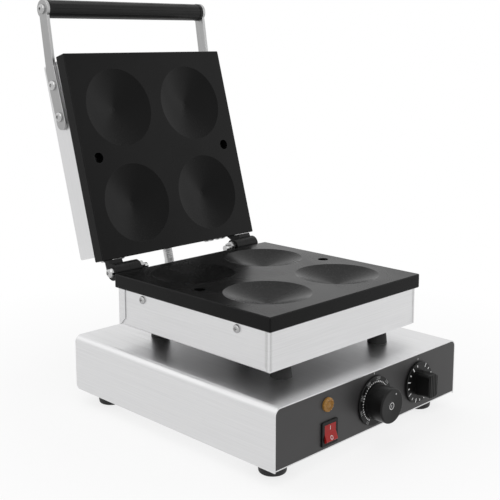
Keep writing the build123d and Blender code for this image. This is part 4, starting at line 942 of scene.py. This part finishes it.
@dataclass
class LampLens:
    """Amber lens of the pilot lamp: fluted rim, sunk ring and a raised star in the middle."""

    flutes: int = 12
    points: int = 3
    sides: int = 96
    rings: tuple[LensRing, ...] = (
        LensRing(1.0, 1.0, 0.0),
        LensRing(1.0, 0.45, 0.0),
        LensRing(0.98, 0.3, 0.05),
        LensRing(0.92, 0.06, 0.14),
        LensRing(0.86, 0.0, 0.16),
        LensRing(0.8, 0.03, 0.14),
        LensRing(0.72, 0.34, 0.05),
        LensRing(0.62, 0.38, 0.0),
        LensRing(0.52, 0.3, -0.12),
        LensRing(0.44, 0.1, -0.3),
        LensRing(0.3, 0.03, -0.35),
        LensRing(0.1, 0.0, 0.0),
    )

    def row(self, ring: LensRing) -> list[Vector]:
        """Points of one ring.

        Args:
            ring: the ring; its waves are the flutes above zero, and the star's points below it.

        Returns:
            The points, all the way round.
        """
        low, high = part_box("pilot_lamp_lens")
        centre = middle_of("pilot_lamp_lens")
        radius = (high.x - low.x) / 2 * ring.radius
        lobes = self.flutes if ring.waves >= 0 else self.points
        found = []
        for step in range(self.sides):
            turn = 2 * math.pi * step / self.sides
            cut = abs(ring.waves) * (0.5 - 0.5 * math.cos(turn * lobes))
            x, z = polar(centre, radius * (1 - cut), turn)
            found.append(Vector((x, low.y + (high.y - low.y) * ring.depth, z)))
        return found

    def build(self) -> bpy.types.Object:
        """Make the lens.

        Returns:
            The piece, in place of the plain lens.
        """
        mesh = skin("pilot_lamp_cover", [self.row(ring) for ring in self.rings])
        piece = new_object("pilot_lamp_cover", mesh, SLOT_FINISHES["lamp_amber"])
        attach(piece, "base")
        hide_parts("pilot_lamp_lens")
        log.info("pilot_lamp_cover has %d flutes", self.flutes)
        return piece


@dataclass(frozen=True)
class Strip:
    """A flat strip of sheet: its corners, and the direction in which it is thick."""

    corners: tuple[Point, ...]
    outward: Vector


@dataclass
class Plates:
    """Thin flat strips of folded sheet, made as bevelled plates in one piece."""

    name: str
    thickness: float = 0.0003
    rounding: float = 0.0001

    def build(self, strips: list[Strip]) -> bpy.types.Object:
        """Make the strips one piece.

        Args:
            strips: the strips.

        Returns:
            The piece, riding on the base.
        """
        shapes = bmesh.new()
        for strip in strips:
            lower = shapes.faces.new([shapes.verts.new(corner) for corner in strip.corners])
            grown = bmesh.ops.extrude_face_region(shapes, geom=[lower])["geom"]
            tops = [item for item in grown if isinstance(item, bmesh.types.BMVert)]
            bmesh.ops.translate(shapes, verts=tops, vec=strip.outward * self.thickness)
        bmesh.ops.recalc_face_normals(shapes, faces=shapes.faces)
        bmesh.ops.bevel(shapes, geom=list(shapes.edges), offset=self.rounding, segments=2, affect="EDGES",
                        clamp_overlap=True)
        piece = new_object(self.name, new_mesh(self.name, shapes), FOLD_STEEL)
        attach(piece, "base")
        log.info("%s made of %d strips", self.name, len(strips))
        return piece


@dataclass
class HousingFolds:
    """The tabs folded round the front corners of the lower housing, and the narrow edges beside them."""

    tab_width: float = 0.0032
    tab_side: float = 0.0028
    foot_rise: float = 0.001
    head_drop: float = 0.0005
    slant: float = 0.0045
    corner: float = 0.0021
    edge_thickness: float = 0.00022
    edge_rounding: float = 0.00008

    def build(self) -> None:
        """Make a tab on each side and a narrow returned edge at each end of the front."""
        low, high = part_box("lower_housing")
        bottom, top = low.z + self.foot_rise, high.z - self.head_drop
        front = low.y + self.corner
        back = front + self.tab_width
        tabs = []
        edges = []
        for side, x in ((-1.0, low.x), (1.0, high.x)):
            tab = ((x, front, bottom), (x, front, top), (x, back, top), (x, back, bottom + self.slant))
            tabs.append(Strip(tab, Vector((side, 0.0, 0.0))))
            inner = x - side * (self.corner + self.tab_side)
            outer = x - side * self.corner
            edge = ((inner, low.y, bottom), (inner, low.y, top), (outer, low.y, top), (outer, low.y, bottom))
            edges.append(Strip(edge, Vector((0.0, -1.0, 0.0))))
        Plates("housing_corner_tabs").build(tabs)
        Plates("housing_front_edges", self.edge_thickness, self.edge_rounding).build(edges)


@dataclass
class Hose:
    """Flexible metal hose between the lower housing and the lid, wound from a strip."""

    radius: float = 0.006
    valley: float = 0.0052
    crown: float = 1.9
    turns: int = 36
    samples: int = 10
    sides: int = 36
    route: tuple[tuple[float, float], ...] = (
        (0.08336, 0.11403),
        (0.1050, 0.11403),
        (0.1250, 0.11410),
        (0.1371, 0.1294),
        (0.1332, 0.1446),
        (0.1365, 0.1561),
        (0.13811, 0.16183),
    )

    def line(self) -> list[Vector]:
        """Draw the hose's middle line.

        Returns:
            Its points, from the housing to the lid.
        """
        curve = bpy.data.curves.new("hose_line", "CURVE")
        curve.dimensions = "3D"
        curve.resolution_u = 24
        spline = curve.splines.new("NURBS")
        spline.points.add(len(self.route) - 1)
        for point, (y, z) in zip(spline.points, self.route):
            point.co = (0.0, y, z, 1.0)
        spline.order_u = 3
        spline.use_endpoint_u = True
        mesh = mesh_of_curve(curve)
        points = [vertex.co.copy() for vertex in mesh.vertices]
        bpy.data.meshes.remove(mesh)
        return points

    def places(self, points: list[Vector]) -> list[tuple[Vector, Vector, float]]:
        """Evenly spaced places on the line.

        Args:
            points: points of the line.

        Returns:
            Place, heading and share of the length for each ring.
        """
        lengths = [0.0]
        for start, end in zip(points, points[1:]):
            lengths.append(lengths[-1] + (end - start).length)
        found = []
        index = 0
        count = self.turns * self.samples
        for step in range(count + 1):
            target = lengths[-1] * step / count
            while index < len(points) - 2 and lengths[index + 1] < target:
                index += 1
            share = (target - lengths[index]) / (lengths[index + 1] - lengths[index])
            before = points[index] - points[max(index - 1, 0)]
            ahead = points[index + 1] - points[index]
            heading = (before.normalized() * (1 - share) + ahead.normalized() * (1 + share)).normalized()
            found.append((points[index].lerp(points[index + 1], share), heading, step / count))
        return found

    def profile(self, phase: float) -> float:
        """Radius of the wound strip at a phase from 0 to 1 of its pitch."""
        rise = min(1.0, max(0.0, math.sin(math.pi * phase) * self.crown))
        return self.valley + (self.radius - self.valley) * rise * rise * (3 - 2 * rise)

    def rows(self, points: list[Vector]) -> list[list[Vector]]:
        """Rings of the hose.

        Args:
            points: points of its middle line.

        Returns:
            The points of each ring.
        """
        side = Vector((1.0, 0.0, 0.0))
        found = []
        for place, heading, share in self.places(points):
            across = side.cross(heading).normalized()
            row = []
            for step in range(self.sides):
                angle = 2 * math.pi * step / self.sides
                radius = self.profile((share * self.turns + step / self.sides) % 1.0)
                row.append(place + (side * math.cos(angle) + across * math.sin(angle)) * radius)
            found.append(row)
        return found

    def build(self) -> bpy.types.Object:
        """Make the hose, in place of the CAD solid.

        Returns:
            The piece, curved from the housing to the lid, fixed in the frame of the part.
        """
        points = self.line()
        mesh = skin("flexible_hose", self.rows(points))
        mesh.shade_smooth()
        piece = new_object("flexible_hose", mesh, HOSE_STEEL)
        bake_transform(piece)
        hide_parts("conduit")
        length = sum((end - start).length for start, end in zip(points, points[1:]))
        log.info("flexible_hose is %.1f mm long", length * 1000)
        return piece


@dataclass(frozen=True)
class FloorPaint(Finish):
    """White floor and backdrop: shown white to the camera, gloss and glass, with the object's shadow kept."""

    shown: float = 0.76
    shadow_reach: float = 0.24
    plain_reach: float = 0.6

    def wire(self, wiring: Wiring, shader: Node) -> None:
        """Mix the lit floor with plain white for rays that see it directly, in gloss or through glass."""
        place = wiring.place()
        noise = wiring.noise(place, scale=3.0, detail=3.0)
        wiring.join(wiring.mix(noise, self.colour, shade(self.colour, factor=1.02)), shader, "Base Color")
        shader.inputs["Roughness"].default_value = self.rough[0]
        shader.inputs["Specular IOR Level"].default_value = 0.0
        away = wiring.node("ShaderNodeVectorMath", {0: place}, operation="LENGTH").outputs["Value"]
        plain = wiring.span(away, self.shadow_reach, self.plain_reach, self.shown, 1.0)
        white = wiring.node("ShaderNodeEmission", {"Color": WHITE, "Strength": 1.0})
        inputs = {0: wiring.math("MULTIPLY", wiring.seen(), plain), 1: shader.outputs[0], 2: white.outputs[0]}
        mixed = wiring.node("ShaderNodeMixShader", inputs)
        leave = next(node for node in wiring.tree.nodes if node.type == "OUTPUT_MATERIAL")
        wiring.join(mixed.outputs[0], leave, "Surface")


@dataclass(frozen=True)
class Lamp:
    """A square soft lamp: name, place, aim, side in metres and power in watts."""

    name: str
    place: Point
    aim: Point
    size: float
    power: float

    def build(self) -> None:
        """Make the lamp."""
        data = bpy.data.lights.new(self.name, "AREA")
        data.shape = "SQUARE"
        data.size = self.size
        data.energy = self.power
        lamp = bpy.data.objects.new(self.name, data)
        bpy.context.scene.collection.objects.link(lamp)
        lamp.location = self.place
        lamp.rotation_mode = "QUATERNION"
        lamp.rotation_quaternion = (Vector(self.aim) - Vector(self.place)).to_track_quat("-Z", "Y")


@dataclass
class Studio:
    """White floor, white surroundings and soft lamps."""

    floor_size: float = 12.0
    floor_finish: Finish = FloorPaint("floor_white", grey(0.95), (0.8, 0.8))
    surround: float = 0.62
    lamps: tuple[Lamp, ...] = (
        Lamp("key_lamp", (-0.9, -0.7, 1.5), (0.0, 0.0, 0.15), 1.6, 7.0),
        Lamp("top_lamp", (0.2, 0.3, 1.8), (0.0, 0.0, 0.2), 1.7, 4.0),
        Lamp("side_lamp", (1.5, -1.0, 0.7), (0.0, 0.0, 0.2), 1.3, 3.5),
        Lamp("rim_lamp", (-0.75, 1.2, 1.1), (0.0, 0.0, 0.1), 1.3, 1.6),
    )

    def build(self) -> None:
        """Make the floor, the surroundings and the lamps."""
        shapes = bmesh.new()
        bmesh.ops.create_grid(shapes, x_segments=24, y_segments=24, size=self.floor_size / 2)
        floor = new_object("floor", new_mesh("floor", shapes), self.floor_finish)
        world = bpy.data.worlds.new("studio")
        bpy.context.scene.world = world
        world.use_nodes = True
        world.node_tree.nodes.clear()
        wiring = Wiring(world.node_tree)
        strength = wiring.span(wiring.seen(), 0.0, 1.0, self.surround, 1.0)
        light = wiring.node("ShaderNodeBackground", {"Color": WHITE, "Strength": strength})
        wiring.join(light.outputs[0], wiring.node("ShaderNodeOutputWorld"), "Surface")
        for lamp in self.lamps:
            lamp.build()
        bpy.context.scene.view_settings.view_transform = "Standard"
        log.info("studio has %d lamps", len(self.lamps))


@dataclass
class Viewpoint:
    """Camera at the photograph's viewing angle, with its small framing shift."""

    place: Point = (-0.7813, -0.7945, 0.4297)
    heading: float = 44.986
    dip: float = 9.620
    focal_pixels: float = 963.0
    shift: float = -0.1
    image_width: int = 500
    sensor_width: float = 36.0
    clip_start: float = 0.01
    clip_end: float = 50.0

    def build(self) -> bpy.types.Object:
        """Make the camera and choose it.

        Returns:
            The camera.
        """
        data = bpy.data.cameras.new("photo_view")
        data.sensor_width = self.sensor_width
        data.sensor_fit = "HORIZONTAL"
        data.lens = self.focal_pixels * self.sensor_width / self.image_width
        data.shift_y = self.shift
        data.clip_start = self.clip_start
        data.clip_end = self.clip_end
        camera = bpy.data.objects.new("photo_view", data)
        bpy.context.scene.collection.objects.link(camera)
        camera.location = self.place
        yaw, pitch = math.radians(self.heading), math.radians(self.dip)
        way = Vector((math.sin(yaw) * math.cos(pitch), math.cos(yaw) * math.cos(pitch), -math.sin(pitch)))
        camera.rotation_mode = "QUATERNION"
        camera.rotation_quaternion = way.to_track_quat("-Z", "Y")
        bpy.context.scene.camera = camera
        return camera


def main() -> None:
    """Dress the part, add its marks and hose, and set the studio."""
    logging.basicConfig(level=logging.INFO, format="%(name)s: %(message)s")
    dress_nodes()
    Hose().build()
    HousingFolds().build()
    PanelMarks().build()
    ThermostatMarks().build()
    TimerMarks().build()
    RockerMarks().build()
    LampLens().build()
    Studio().build()
    Viewpoint().build()


if __name__ == "__main__":
    main()
